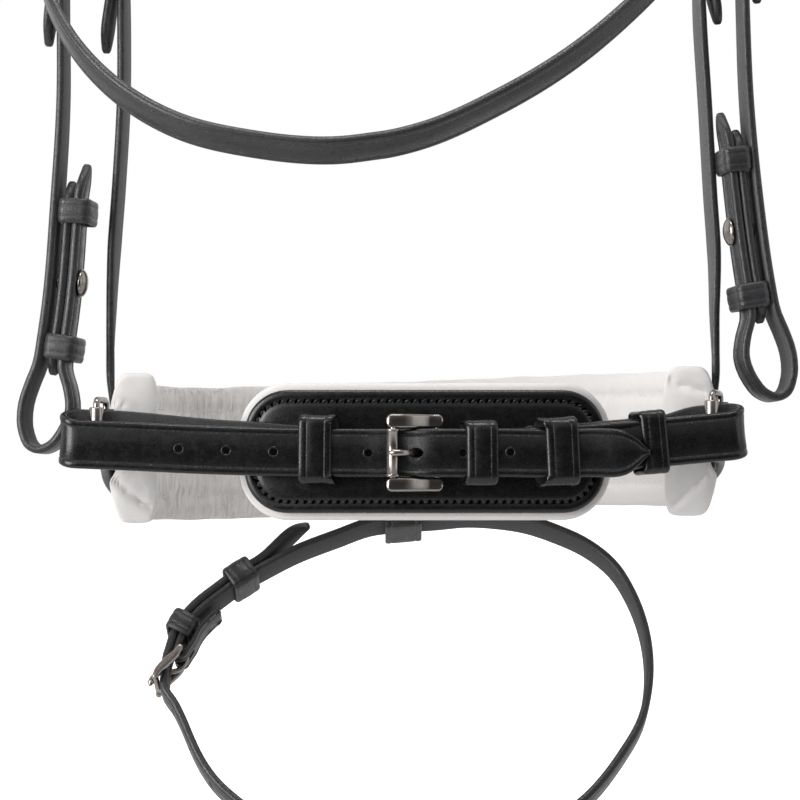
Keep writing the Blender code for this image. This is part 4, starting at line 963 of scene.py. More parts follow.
def tongue_path(length, front_r):
    """The tongue as (s, n, radius) from the heel bar: an eye, a step up through the hole, the tip."""
    eye = BAR_R + FIT + EYE_R
    tip_n = front_offset(front_r) + front_r + FIT + TONGUE_R * 1.25
    through_n = BAR_DEPTH + HOLE_N
    rise, reach = tip_n - through_n, length - TONGUE_REACH
    turns = [math.radians(150 - 48.0 * k) for k in range(6)]
    return [(eye * math.cos(angle), eye * math.sin(angle), EYE_R) for angle in turns] + [
        (-3.6, -eye * 0.92, EYE_R), (-6.3, -eye * 0.38, TONGUE_R), (-8.0, through_n - 2.6, TONGUE_R),
        (-TONGUE_REACH - 0.1, through_n + 0.3, TONGUE_R),
        (-TONGUE_REACH - reach * 0.3, through_n + rise * 0.66, TONGUE_R),
        (-TONGUE_REACH - reach * 0.68, through_n + rise * 0.97, TONGUE_R * 1.15),
        (-length + 0.4, tip_n, TONGUE_R * 1.25), (-length - 1.1, tip_n, TONGUE_R * 0.7)]


def chape(line, s, length=CHAPE_L, under=0.0):
    """Samples of a strap's end folded round a buckle's heel bar: the sewn tail, then the fold."""
    low = -BAR_DEPTH - BAR_R - FIT - SKIVED_T / 2
    high = -BAR_DEPTH + BAR_R + FIT + SKIVED_T / 2
    tail = TAIL_N - under
    samples = run(line, [(s + length, tail, SKIVED_T), (s + FOLD_EASE, tail, SKIVED_T), (s, low, SKIVED_T)])
    return samples + fold(line, s, low, high, SKIVED_T, -1.0) + run(
        line, [(s, high, SKIVED_T), (s + FOLD_EASE, 0.0)])


def billet(s, tip_s, length=BUCKLE_L, lift=2.5):
    """Stations of a billet past its buckle's front bar, heel bar and keeper, out to its tip."""
    top = STRAP_T + FIT
    return [(s - length - 14.0, 0.0), (s - length, rest_n(0.0)), (s - length * 0.82, rest_n(0.0)),
            (s - 1.0, rest_n(1.0)), (s + 2.0, rest_n(1.0)), (s + 14.0, top),
            (s + CHAPE_L + KEEPER_AFTER + SMALL_BAND / 2 + 1.0, top), (tip_s, top + lift)]


def tongue_hole(line, s):
    """The oval hole that a tongue has drawn out in its billet."""
    return punch(line, s - TONGUE_REACH, TONGUE_HOLE_L / 2, TONGUE_HOLE_W / 2, HOLE_N, 4.0)


def slot_cutter(line, s):
    """The notch in a chape's fold that the tongue's eye turns in."""
    half = EYE_R + 0.7
    return block(line, s, (-6.0, 4.6), (-8.0, 3.0), (-half, half))


print("strap ends ready")

# %% [markdown]
# ## Keepers
# A keeper is a leather band bent round a stack of straps, with soft corners and a faint crease along both
# edges. Fixed ones are sewn in place and loose ones slide.

# %% Keepers
def band(name, node, body, line, s, n_low, n_high, width, reach, leather, lean=0.0, shift=0.0, corner=2.3):
    """A keeper round everything between two heights, leaning along the strap if it is loose."""
    place, along, out, wide = line.frame(s)
    place = place + wide * shift
    middle = (n_low + n_high) / 2
    half_w = width / 2 + FIT + KEEPER_T / 2
    half_n = (n_high - n_low) / 2 + FIT + KEEPER_T / 2
    corner = min(corner, half_n - 0.3)
    samples = []
    for quarter, (toward_w, toward_n) in enumerate(((1, 1), (-1, 1), (-1, -1), (1, -1))):
        turn_w, turn_n = toward_w * (half_w - corner), toward_n * (half_n - corner)
        for k in range(6):
            angle = math.radians(90 * quarter + 18 * k)
            toward = wide * math.cos(angle) + out * math.sin(angle)
            forward = lean * (turn_n + corner * math.sin(angle)) / (2 * half_n)
            centre = place + out * (middle + turn_n) + wide * turn_w + toward * corner + along * forward
            samples.append((centre, along, KEEPER_T))
    path = Path(samples, closed=True, soften=0.35)
    if path.out[0] @ np.array(samples[0][0] - (place + out * middle)) < 0:
        path.out = -path.out
    hand_over(sweep(name, path, reach, leather, section=keeper_section), node, body)


print("keepers ready")

# %% [markdown]
# ## Headpiece, browband and headstrap
# The headpiece is one strip of leather over the poll, slit at both ends into a cheek billet and a throat
# billet. The browband's sewn loops run round it below the ears, and a thin strap under it carries the
# noseband. Every billet ends in a blunt point and has the oval hole that its buckle's tongue has drawn.

# %% Headpiece
def headpiece():
    middle, outer = (0.0, 0.0, CROWN_T, REAR / 2), (CROWN_END, 0.0, CROWN_T, REAR / 2)
    over = run(CHEEK["left"], [outer, middle])[:-1] + run(CHEEK["right"], [middle, outer])[1:]
    width = CHEEK_W + SPLIT_GAP + THROAT_W
    corner = rounded_end(width, 4.0)
    parts = [sweep("crown", Path(over), width, BRIDLE_LEATHER, start=corner, end=corner)]
    for side, cheek_tip, throat_tip in (("left", 66.0, 52.0), ("right", 48.0, 46.0)):
        arms = ((CHEEK[side], CHEEK_BUCKLE[side], CHEEK_W, CROWN_END - 14.0, cheek_tip),
                (THROAT[side], THROAT_BUCKLE[side], THROAT_W, 0.5, throat_tip))
        for line, s, arm_w, root, tip in arms:
            lie = Path(run(line, [(root, 0.0)] + billet(s, s + tip)), SIGN[side])
            arm = sweep("arm", lie, arm_w, BRIDLE_LEATHER, end=pointed(arm_w, 15.0))
            parts.append(cut(arm, tongue_hole(line, s)))
    hand_over(merge("crown_and_billets", parts), "headpiece")


headpiece()
print("headpiece:", MADE["crown_and_billets"], "faces")


# %% Browband
def cornered(points, radius, steps=6):
    """Flat (n, w) points with every inner corner rounded."""
    path = [points[0]]
    for a, b, c in zip(points, points[1:], points[2:]):
        a, b, c = Vector(a), Vector(b), Vector(c)
        start = b + (a - b).normalized() * radius
        end = b + (c - b).normalized() * radius
        for k in range(steps + 1):
            u = k / steps
            path.append(tuple((1 - u) ** 2 * start + 2 * u * (1 - u) * b + u * u * end))
    return path + [points[-1]]


def brow_loop(side):
    """The sewn loop of the browband, from its tail outwards."""
    place, along, out, wide = CHEEK[side].frame(BROW_AT)
    inner = -(CROWN_T / 2 + FIT + STRAP_T) - 2 * FIT - LOOP_T / 2 - 0.5
    outer = STRAP_T / 2 + FIT + LOOP_T / 2
    front = CHEEK_W / 2 + FIT + LOOP_T / 2 + 0.6
    back = REAR - THROAT_W / 2 - FIT - LOOP_T / 2 - 0.4
    path = cornered([(outer - LOOP_T - FIT, front), (inner, front), (inner, back), (outer, back),
                     (outer, front + 6.0)], 2.2)
    return [(place + out * n + wide * w, along * -1.0, LOOP_T) for n, w in path]


def browband():
    left, right = brow_loop("left"), brow_loop("right")
    a, b = left[-1][0], right[-1][0]
    front_z = (a.z + b.z) / 2 - 6.0
    bow = smooth([a, (a.x + 1.0, a.y + 22.0, a.z - 1.5), (-121.0, 66.0, front_z + 3.0), (-78.0, 97.0, front_z),
                  (0.0, 110.0, front_z - 1.0), (78.0, 97.0, front_z), (121.0, 66.0, front_z + 3.0),
                  (b.x - 1.0, b.y + 22.0, b.z - 1.5), b])
    strip = []
    for i, place in enumerate(bow[1:-1], 1):
        share = i / (len(bow) - 1)
        tilt = left[-1][1] if share < 0.5 else right[-1][1]
        blend = ease(min(1.0, min(share, 1 - share) * 5))
        strip.append((place, tilt.lerp(Vector(UPRIGHT), blend), LOOP_T + 1.0 * blend))
    path = Path(left + strip + right[::-1])
    if path.out[len(path.far) // 2][1] < 0:
        path.out = -path.out
    hand_over(sweep("browband_strip", path, BROW_W, BRIDLE_LEATHER), "browband")


browband()
print("browband:", MADE["browband_strip"], "faces")


# %% Headstrap
def headstrap():
    runs, holes = {}, []
    for side, tip in (("left", 72.0), ("right", 60.0)):
        line, s = HANGER[side], HANGER_BUCKLE[side]
        runs[side] = run(line, [(0.0, 0.0)] + billet(s, s + tip, lift=4.0))
        holes.append(tongue_hole(line, s))
    point = pointed(HANGER_W, 13.0)
    made = sweep("noseband_headstrap_strip", Path(runs["left"][::-1] + runs["right"][1:]), HANGER_W,
                 BRIDLE_LEATHER, start=point, end=point)
    hand_over(cut(made, *holes), "noseband_headstrap")


headstrap()
print("headstrap:", MADE["noseband_headstrap_strip"], "faces")

# %% [markdown]
# ## Buckles, rings and studs
# Each buckle is a cast frame of two side plates and two bars, the heel bar inside the strap's fold and the
# front bar above it, with a wire tongue round the heel bar. Plates are swept like straps but with a round
# cornered bar section. Bars, tongues and rings are drawn tubes. Rollers and studs are turned.

# %% Drawn and turned metal
def tube(name, points, radii, sides=18, guide=UPRIGHT, closed=False):
    """A round bar drawn through points, with rounded ends."""
    places, sizes = list(points), list(radii)
    if not closed:
        head, tail = (places[0] - places[1]).normalized(), (places[-1] - places[-2]).normalized()
        first, last, r0, r1 = places[0], places[-1], sizes[0], sizes[-1]
        for angle in (30, 60, 84):
            a = math.radians(angle)
            places.insert(0, first + head * (r0 * 0.6 * math.sin(a)))
            sizes.insert(0, r0 * math.cos(a))
            places.append(last + tail * (r1 * 0.6 * math.sin(a)))
            sizes.append(r1 * math.cos(a))
    count, spots = len(places), []
    for i, place in enumerate(places):
        a = places[i - 1] if closed or i else places[0]
        b = places[(i + 1) % count] if closed or i < count - 1 else places[-1]
        along = (b - a).normalized()
        side = (Vector(guide) - along * along.dot(Vector(guide))).normalized()
        up = along.cross(side)
        for k in range(sides):
            angle = 2 * math.pi * (k + 0.5) / sides
            spots.append(place + (side * math.cos(angle) + up * math.sin(angle)) * sizes[i])
    return piece(name, spots, skin(count, sides, closed), STEEL)


def turned(name, profile, place, axis, sides=40, bored=False):
    """A turned piece from (radius, height) pairs, solid or with a bore."""
    up = Vector(axis).normalized()
    side = up.orthogonal().normalized()
    back = up.cross(side)
    spots = []
    for radius, height in profile:
        for k in range(sides):
            angle = 2 * math.pi * k / sides
            spoke = side * math.cos(angle) + back * math.sin(angle)
            spots.append(Vector(place) + up * height + spoke * radius)
    return piece(name, spots, skin(len(profile), sides, bored), STEEL)


print("tools for wire and turned pieces ready")

# %% Buckles
BULGE = 0.55                                      # how much thicker a small plate is in its middle
WIDER = 0.8                                       # how far the crank buckle's plates reach inwards


def buckle(names, bodies, line, s, width, length=BUCKLE_L, roller=False):
    """Frame, tongue and, on the crank strap, roller. The heel bar lies at distance s."""
    place, along, out, wide = line.frame(s)
    heel = place - out * BAR_DEPTH
    lip = ROLLER_R + ROLLER_LIP
    if roller:
        front_r, plate_t, plate_w, bulge, more, soft = lip, CRANK_PLATE_T, CRANK_PLATE_W, 0.0, WIDER, 0.48
    else:
        front_r, plate_t, plate_w, bulge, more, soft = BAR_R, PLATE_T, PLATE_W, BULGE, 0.0, 0.38
    rise = front_offset(front_r)

    def at(ds, dn, dw=0.0):
        return heel + along * ds + out * dn + wide * dw

    inner = width / 2 + PLATE_CLEARANCE
    profile = [(plate_w * 0.52, -0.1), (-length * 0.14, rise * 0.09), (-length * 0.5, rise * 0.56),
               (-length * 0.84, rise * 0.95), (-length - plate_w * 0.56, rise)]
    corner = rounded_end(plate_w + more, plate_w * soft)
    parts = []
    for sign in (1, -1):
        spine = smooth([at(ds, dn, sign * (inner + (plate_w - more) / 2)) for ds, dn in profile], 0.7)
        lie = Path([(p, wide, plate_t * (1.0 + bulge * math.sin(math.pi * i / (len(spine) - 1))))
                    for i, p in enumerate(spine)], soften=0.5)
        parts.append(sweep("side", lie, plate_w + more, STEEL, corner, corner, metal_section))
    bar_half = inner + plate_w * 0.45
    for ds, dn in ((0.0, 0.0), (-length, rise)):
        parts.append(tube("bar", [at(ds, dn, -bar_half), at(ds, dn, bar_half)], [BAR_R, BAR_R], guide=out))
    hand_over(merge(names[0] + "_cast", parts), names[0], bodies[0])

    path = tongue_path(length, front_r)
    knots = [at(ds, dn) for ds, dn, _ in path]
    bent = smooth(knots, 0.8)
    far, own = distances(knots), distances(bent)
    radii = np.interp(np.array(own) * far[-1] / own[-1], far, [r for _, _, r in path])
    hand_over(tube(names[1] + "_wire", bent, list(radii), guide=wide), names[1], bodies[1])
    if roller:
        half = inner - more - FIT
        edge = [(ROLLER_BORE_R, 0.2), (ROLLER_BORE_R + 0.2, 0.0), (lip - 0.3, 0.0), (lip, 0.3), (lip, 0.8),
                (lip - 0.2, 1.1), (ROLLER_R, 1.4)]
        wall = [(r, d - half) for r, d in edge] + [(r, half - d) for r, d in edge[::-1]]
        made = turned(names[2] + "_sleeve", wall, at(-length, rise), wide, bored=True)
        hand_over(made, names[2], bodies[2])


def side_buckle(kind, side, line, s, width, keeper, slider):
    """A buckle of one side, and the loose keeper that slides on its billet."""
    tongue, slider = f"{kind}_tongue_{side}", f"{slider}_{side}"
    buckle([f"{kind}_buckle_{side}", tongue], ["bridle", tongue], line, s, width)
    band(f"{keeper}_{side}", slider, slider, line, s + CHAPE_L + KEEPER_AFTER, -STRAP_T / 2,
         STRAP_T * 1.5 + FIT, width, SMALL_BAND, BRIDLE_LEATHER)


print("metal tools ready")

# %% [markdown]
# ## Cheekpieces
# A cheekpiece folds round its buckle at the top and turns back up at its foot into the loop that holds the
# bit. The turned-up end is a billet with a slit keyhole that snaps over a stud. The stud's foot sits in a
# short strip that is sewn between, and two keepers close the loop.

# %% Cheekpieces
def cheek_strap(line, top, low, billet_n):
    """The strap's samples: chape, long run, the loop that bows out for the bit, and the turned-up billet."""
    outer = chape(line, top) + run(line, [(top + CLEAR, 0.0), (low + 4.0, 0.0)])
    drop = [(8.0, 0.3), (17.0, LOOP_OUT * 0.62), (26.0, LOOP_OUT), (LOOP_DROP - 7.0, LOOP_OUT - 1.6),
            (LOOP_DROP - 1.0, -1.6), (LOOP_DROP, -5.2), (LOOP_DROP - 2.4, -10.2), (LOOP_DROP - 9.0, -14.4),
            (25.0, -LOOP_IN), (16.0, -LOOP_IN + 2.4), (9.0, billet_n - 0.8), (3.0, billet_n)]
    bow = smooth([outer[-1][0]] + [line.point(low + down, n) for down, n in drop], 0.8)
    wide = line.frame(low)[3]
    outer += [(p, wide, STRAP_T) for p in bow[1:-1]]
    upper = low - KEEPER_SPACING - SMALL_BAND / 2
    return outer + run(line, [(low + 3.0, billet_n), (upper, billet_n),
                              (low - TIP_UP, billet_n - 1.6)])


def cheekpiece(side):
    line, top = CHEEK[side], CHEEK_BUCKLE[side]
    low = line.find(2, LOWER_KEEPER_Z[side])
    strip_n = -(STRAP_T / 2 + FIT + KEEPER_T + FIT + STRIP_T / 2)
    billet_n = strip_n - STRIP_T / 2 - BILLET_GAP - STRAP_T / 2
    stud_s, neck = low - STUD_UP, STUD_NECK_R + 0.6
    lie = Path(cheek_strap(line, top, low, billet_n), SIGN[side])
    made = sweep("cheek_strap_" + side, lie, CHEEK_W, BRIDLE_LEATHER, end=pointed(CHEEK_W, 14.0))
    cut(made, slot_cutter(line, top))
    cut(made, punch(line, stud_s, neck, neck, billet_n))
    cut(made, punch(line, stud_s + 9.0, 8.0, 0.5, billet_n))
    hand_over(made, "cheekpiece_" + side)

    strip = run(line, [(low + STRIP_DOWN, strip_n, STRIP_T), (low - STRIP_UP, strip_n, STRIP_T)])
    strip_w = CHEEK_W - 1.0
    made = sweep("stud_backing_" + side, Path(strip, -SIGN[side]), strip_w, BRIDLE_LEATHER,
                 pointed(strip_w, 8.0), pointed(strip_w, 9.0))
    cut(made, punch(line, stud_s, STUD_NECK_R + FIT, STUD_NECK_R + FIT, strip_n, 2.2))
    hand_over(made, "stud_strip_" + side)

    foot = strip_n + STRIP_T / 2 + FIT
    up = foot - (billet_n - STRAP_T / 2 - FIT)
    profile = [(1.6, -1.3), (2.8, -1.3), (3.0, -1.0), (3.0, -0.3), (2.7, 0.0), (STUD_NECK_R, 0.0),
               (STUD_NECK_R, up), (STUD_HEAD_R - 0.4, up), (STUD_HEAD_R, up + 0.4), (STUD_HEAD_R, up + 0.9),
               (STUD_HEAD_R - 0.5, up + 1.6), (STUD_HEAD_R - 1.5, up + 2.3), (STUD_HEAD_R * 0.5, up + 2.9),
               (STUD_HEAD_R * 0.2, up + 3.1)]
    made = turned("stud_" + side, profile, line.point(stud_s, foot), -line.frame(stud_s)[2])
    hand_over(made, "hook_stud_" + side)

    for name, s, slack in (("lower", low, KEEPER_SLACK), ("upper", low - KEEPER_SPACING, UPPER_SLACK[side])):
        band(f"{name}_keeper_{side}", f"cheek_{name}_keeper_{side}", "bridle", line, s,
             billet_n - STRAP_T / 2 - slack, strip_n + STRIP_T / 2, CHEEK_W, SMALL_BAND, BRIDLE_LEATHER)
    side_buckle("cheek", side, line, top, CHEEK_W, "cheek_keeper", "cheek_billet_keeper")


for each_side in SIGN:
    cheekpiece(each_side)
print("cheekpieces:", MADE["cheek_strap_left"], MADE["cheek_strap_right"], "faces")

# %% [markdown]
# ## Straps that carry the noseband
# They hang just inside the cheekpieces. Each folds round a buckle at its top, and its foot is skived thin
# and sewn between the noseband's leather and its lining.

# %% Carrying straps
def hanger(side):
    line, top = HANGER[side], HANGER_BUCKLE[side]
    foot = line.far[-1]
    samples = chape(line, top) + run(line, [(top + CLEAR, 0.0), (foot - 70.0, 0.0),
                                            (foot - 42.0, 0.7), (foot - 24.0, 0.0, HANGER_FOOT_T),
                                            (foot, 0.0, HANGER_FOOT_T)])
    made = sweep("carrying_strap_" + side, Path(samples, SIGN[side]), HANGER_W, BRIDLE_LEATHER,
                 end=rounded_end(HANGER_W, 3.0))
    hand_over(cut(made, slot_cutter(line, top)), "hanger_" + side)
    side_buckle("hanger", side, line, top, HANGER_W, "carrying_keeper", "hanger_keeper")


for each_side in SIGN:
    hanger(each_side)
print("carrying straps:", MADE["carrying_strap_left"], "faces each")


# %% Throatlash
def throatlash():
    runs = {}
    for side in SIGN:
        line, s = THROAT[side], THROAT_BUCKLE[side]
        end = line.find(0, -5.0, after=s + 60.0)
        runs[side] = chape(line, s) + run(line, [(s + CLEAR, 0.0), (end, 0.0)])
        side_buckle("throat", side, line, s, THROAT_W, "throat_band", "throat_keeper")
    lie = Path(runs["left"] + runs["right"][::-1][1:], -1.0)
    made = sweep("throatlash_strap", lie, THROAT_W, BRIDLE_LEATHER)
    hand_over(cut(made, *[slot_cutter(THROAT[side], THROAT_BUCKLE[side]) for side in SIGN]), "throatlash")


throatlash()
print("throatlash:", MADE["throatlash_strap"], "faces")

# %% [markdown]
# ## Noseband leather and end rings
# The noseband is one strap, 46 mm deep over the nose and slimmer towards its ends. Each end is skived, folded
# round the far bar of a rectangular wire ring and sewn down inside. The ring's near bar carries a loose
# roller, so the crank strap runs round it easily.

# %% Noseband leather
REACH = TAB_L + math.pi * (RING_R + FIT + SKIVED_T / 2)


def nose_half(d):
    """Half the noseband's depth at a distance d from either end of its strap."""
    return tapered(NOSE_H, NOSE_END_H, 50.0)[1](max(0.0, d - REACH - 28.0))


def nose_edge(s):
    """Half its depth at a distance s along its line."""
    return nose_half(min(s, NOSE_L - s) + REACH)


def noseband():
    low = -RING_R - FIT - SKIVED_T / 2
    left = ring_centre("left")[2] - NOSE.point(0.0).z
    right = ring_centre("right")[2] - NOSE.point(NOSE_L).z
    samples = run(NOSE, [(TAB_L, TAIL_N, SKIVED_T, left), (8.0, TAIL_N, SKIVED_T, left),
                         (0.0, low, SKIVED_T, left)])
    samples += fold(NOSE, 0.0, low, -low, SKIVED_T, -1.0, 14, left, left)
    samples += run(NOSE, [(0.0, -low, SKIVED_T, left), (8.0, 0.0, STRAP_T, left), (62.0, 0.0),
                          (NOSE_L - 62.0, 0.0), (NOSE_L - 8.0, 0.0, STRAP_T, right),
                          (NOSE_L, -low, SKIVED_T, right)])
    samples += fold(NOSE, NOSE_L, -low, low, SKIVED_T, 1.0, 14, right, right)
    samples += run(NOSE, [(NOSE_L, low, SKIVED_T, right), (NOSE_L - 8.0, TAIL_N, SKIVED_T, right),
                          (NOSE_L - TAB_L, TAIL_N, SKIVED_T, right)])
    slim = (REACH + 78.0, nose_half)
    lie = Path(samples, -1.0, soften=0.6)
    hand_over(sweep("noseband_band", lie, NOSE_H, BRIDLE_LEATHER, slim, slim), "noseband_leather")


noseband()
print("noseband:", MADE["noseband_band"], "faces")


# %% End rings
RING_LIFT = Vector((0.0, 0.0, 2.0))               # the rings ride up on their rollers
RING_CORNER = 2.6


def end_ring(side):
    far_place = NOSE.point(0.0 if side == "left" else NOSE_L)
    near = ring_centre(side)
    far = Vector((far_place.x, far_place.y, near.z))
    cross = (far - near).normalized()
    half = RING_H / 2 - RING_R - RING_LIFT.z
    path = []
    for end, sign in ((near, -1.0), (near, 1.0), (far, 1.0), (far, -1.0)):
        inward = cross if end is near else -cross
        for k in range(7) if (end is near) == (sign > 0) else range(6, -1, -1):
            angle = math.radians(15 * k)
            path.append(end + RING_LIFT + inward * RING_CORNER * (1 - math.cos(angle))
                        + Vector((0, 0, sign * (half - RING_CORNER * (1 - math.sin(angle))))))
    made = tube("wire_ring_" + side, path, [RING_R * 0.85] * len(path), guide=cross.cross(Vector(UPRIGHT)),
                closed=True)
    hand_over(made, "end_ring_" + side)
    long = RING_ROLLER_L / 2
    edge = [(RING_ROLLER_BORE_R, 0.0), (RING_ROLLER_R - 0.4, 0.0), (RING_ROLLER_R - 0.1, 0.15),
            (RING_ROLLER_R, 0.5)]
    wall = [(r, d - long) for r, d in edge] + [(r, long - d) for r, d in edge[::-1]]
    made = turned("ring_sleeve_" + side, wall, near + RING_LIFT, UPRIGHT, bored=True)
    roller = "ring_roller_" + side
    hand_over(made, roller, roller)


for each_side in SIGN:
    end_ring(each_side)
print("rings and their rollers:", MADE["wire_ring_left"], MADE["ring_sleeve_left"], "faces")

# %% [markdown]
# ## White padding of the noseband
# The padding is a long cushion of soft leather over foam, 60 mm deep, that stands proud of the noseband above
# and below. Its two ends, which face the chin, are boxed like the end of a pillow, nearly 20 mm thick, and
# flare a little at their corners. A row of stitches through leather and padding draws in a channel along both
# edges, and where the band turns round the nose the inner face is pressed together into upright wrinkles. The
# cushion is first laid out as rows round its section, slightly flat. Then it is filled with air as cloth, held
# where it is sewn, so the leather swells between its seams by itself. Wrinkles come last, from noise that is
# stretched upwards.

# %% Tools for cushions
def rounded_box(count, power):
    """Points (-1..1, -1..1) round a box with soft corners, evenly spread by angle."""
    spots = []
    for k in range(count):
        a = 2 * math.pi * k / count
        c, s = math.cos(a), math.sin(a)
        spots.append((math.copysign(abs(c) ** (2 / power), c), math.copysign(abs(s) ** (2 / power), s)))
    ring = np.array(spots + spots[:1])
    far = np.r_[0.0, np.cumsum(np.linalg.norm(np.diff(ring, axis=0) * (3.0, 1.0), axis=1))]
    even = np.linspace(0.0, far[-1], count + 1)[:-1]
    return [(float(np.interp(d, far, ring[:, 0])), float(np.interp(d, far, ring[:, 1]))) for d in even]


def near_fold(x, z, line):
    """How far a point of an end face is from a seam of its fold, and on which side of it."""
    best, over = 99.0, 1.0
    for (x0, z0), (x1, z1) in zip(line, line[1:]):
        dx, dz = x1 - x0, z1 - z0
        share = within(((x - x0) * dx + (z - z0) * dz) / (dx * dx + dz * dz))
        gap = math.hypot(x - x0 - share * dx, z - z0 - share * dz)
        if gap < best:
            best, over = gap, math.copysign(1.0, dx * (z - z0) - dz * (x - x0))
    return best, over


PRESSURE, SWELL_FRAMES = 3.0, 20


def inflate(made, held, most):
    """Fills a closed fabric with air. The held points stay, and no point moves more than most, in metres."""
    start = np.zeros(len(made.data.vertices) * 3)
    made.data.vertices.foreach_get("co", start)
    group = made.vertex_groups.new(name="sewn")
    group.add([int(k) for k in held], 1.0, "REPLACE")
    step = made.modifiers.new("fabric", "CLOTH")
    fabric = step.settings
    fabric.vertex_group_mass = "sewn"
    fabric.quality, fabric.mass = 3, 0.15
    fabric.tension_stiffness = fabric.compression_stiffness = 14.0
    fabric.shear_stiffness, fabric.bending_stiffness = 6.0, 0.6
    fabric.use_pressure, fabric.uniform_pressure_force = True, PRESSURE
    fabric.effector_weights.gravity = 0.0
    step.point_cache.frame_start, step.point_cache.frame_end = 1, SWELL_FRAMES
    for frame_number in range(1, SWELL_FRAMES + 1):
        bpy.context.scene.frame_set(frame_number)
    settle(made)
    bpy.context.scene.frame_set(1)
    end = np.zeros_like(start)
    made.data.vertices.foreach_get("co", end)
    move = (end - start).reshape(-1, 3)
    size = np.linalg.norm(move, axis=1)[:, None]
    move *= np.minimum(1.0, most / np.maximum(size, 1e-9))
    made.data.vertices.foreach_set("co", (start.reshape(-1, 3) + move).ravel())
    made.vertex_groups.clear()
    print("swelled:", made.name, "mean", round(float(size.mean()) * 1000, 2), "most",
          round(float(size.max()) * 1000, 2))


print("cushion tools ready")

# %% [markdown]
# The padding's thickness and the seams in it are needed twice, here and where it is sewn, so they are small
# functions of the distance along the noseband. The folds in the end faces are short lines in X and Z.

# %% Noseband padding
END_T = {"left": 17.5, "right": 19.5}
END_GAP = 6.0                                     # the padding stops short of the noseband's line
SEAM_IN = 3.5
FOLDS = {
    "left": [[(-122.4, -450.0), (-116.6, -456.6), (-111.1, -460.8), (-103.0, -466.4)],
             [(-122.0, -413.0), (-124.0, -418.0), (-116.4, -421.4)]],
    "right": [[(115.5, -463.5), (124.5, -455.5), (134.0, -446.6)],
              [(112.0, -407.0), (115.3, -412.2), (121.6, -413.9), (134.0, -417.4)]],
}


def seam_depth(s):
    """How deep the seam draws in the padding: little on the left, where the wrinkles hide it."""
    return 0.8 + 0.9 * ease(s / NOSE_L)


def padding_at(s):
    """At a distance s: the side, the near end's distance, how boxed it is, its thickness, its outer face."""
    side = "left" if s < NOSE_L / 2 else "right"
    near_end = min(s - END_GAP, NOSE_L - END_GAP - s)
    boxed = 1.0 - ease(within((near_end - 12.0) / 24.0))
    free = min(s - (HANGER_AT["left"] + HANGER_W), (HANGER_AT["right"] - HANGER_W) - s) / 20.0
    under = -STRAP_T / 2 - FIT - (SKIVED_T + FIT) * (1.0 - ease(within(free)))
    return side, near_end, boxed, LINING_T + (END_T[side] - LINING_T) * boxed, under


def end_folds(spot, w, m, side):
    """How far an end face's point bulges or sinks: a soft unevenness and the folds."""
    slide = 0.5 * noise.noise(Vector((w / 9.0, m / 7.0, 3.0)))
    slide += 0.25 * noise.noise(Vector((w / 3.0, m / 3.0, 8.0)))
    for line in FOLDS[side]:
        gap, over = near_fold(spot.x, spot.z, line)
        slide += 1.3 * math.exp(-(gap / 1.5) ** 2) + 0.8 * over * math.exp(-gap / 5.0)
    return slide if side == "left" else -slide


def lining_rows():
    """Places of the padding's rows, closing at both ends like a cap."""
    first, last = END_GAP, NOSE_L - END_GAP
    caps = [(-1.6 * (1 - (k / 16) ** 2), 0.05 + 0.85 * k / 16) for k in range(17)]
    caps += [(0.2, 0.94), (0.7, 0.972), (1.5, 0.99), (2.6, 1.0)]
    free = last - first - 5.2
    steps = int(free / 2.5)
    rows = [(first + d, k) for d, k in caps] + [(first + 2.6 + free * i / steps, 1.0) for i in range(1, steps)]
    return rows + [(last - d, k) for d, k in reversed(caps)]


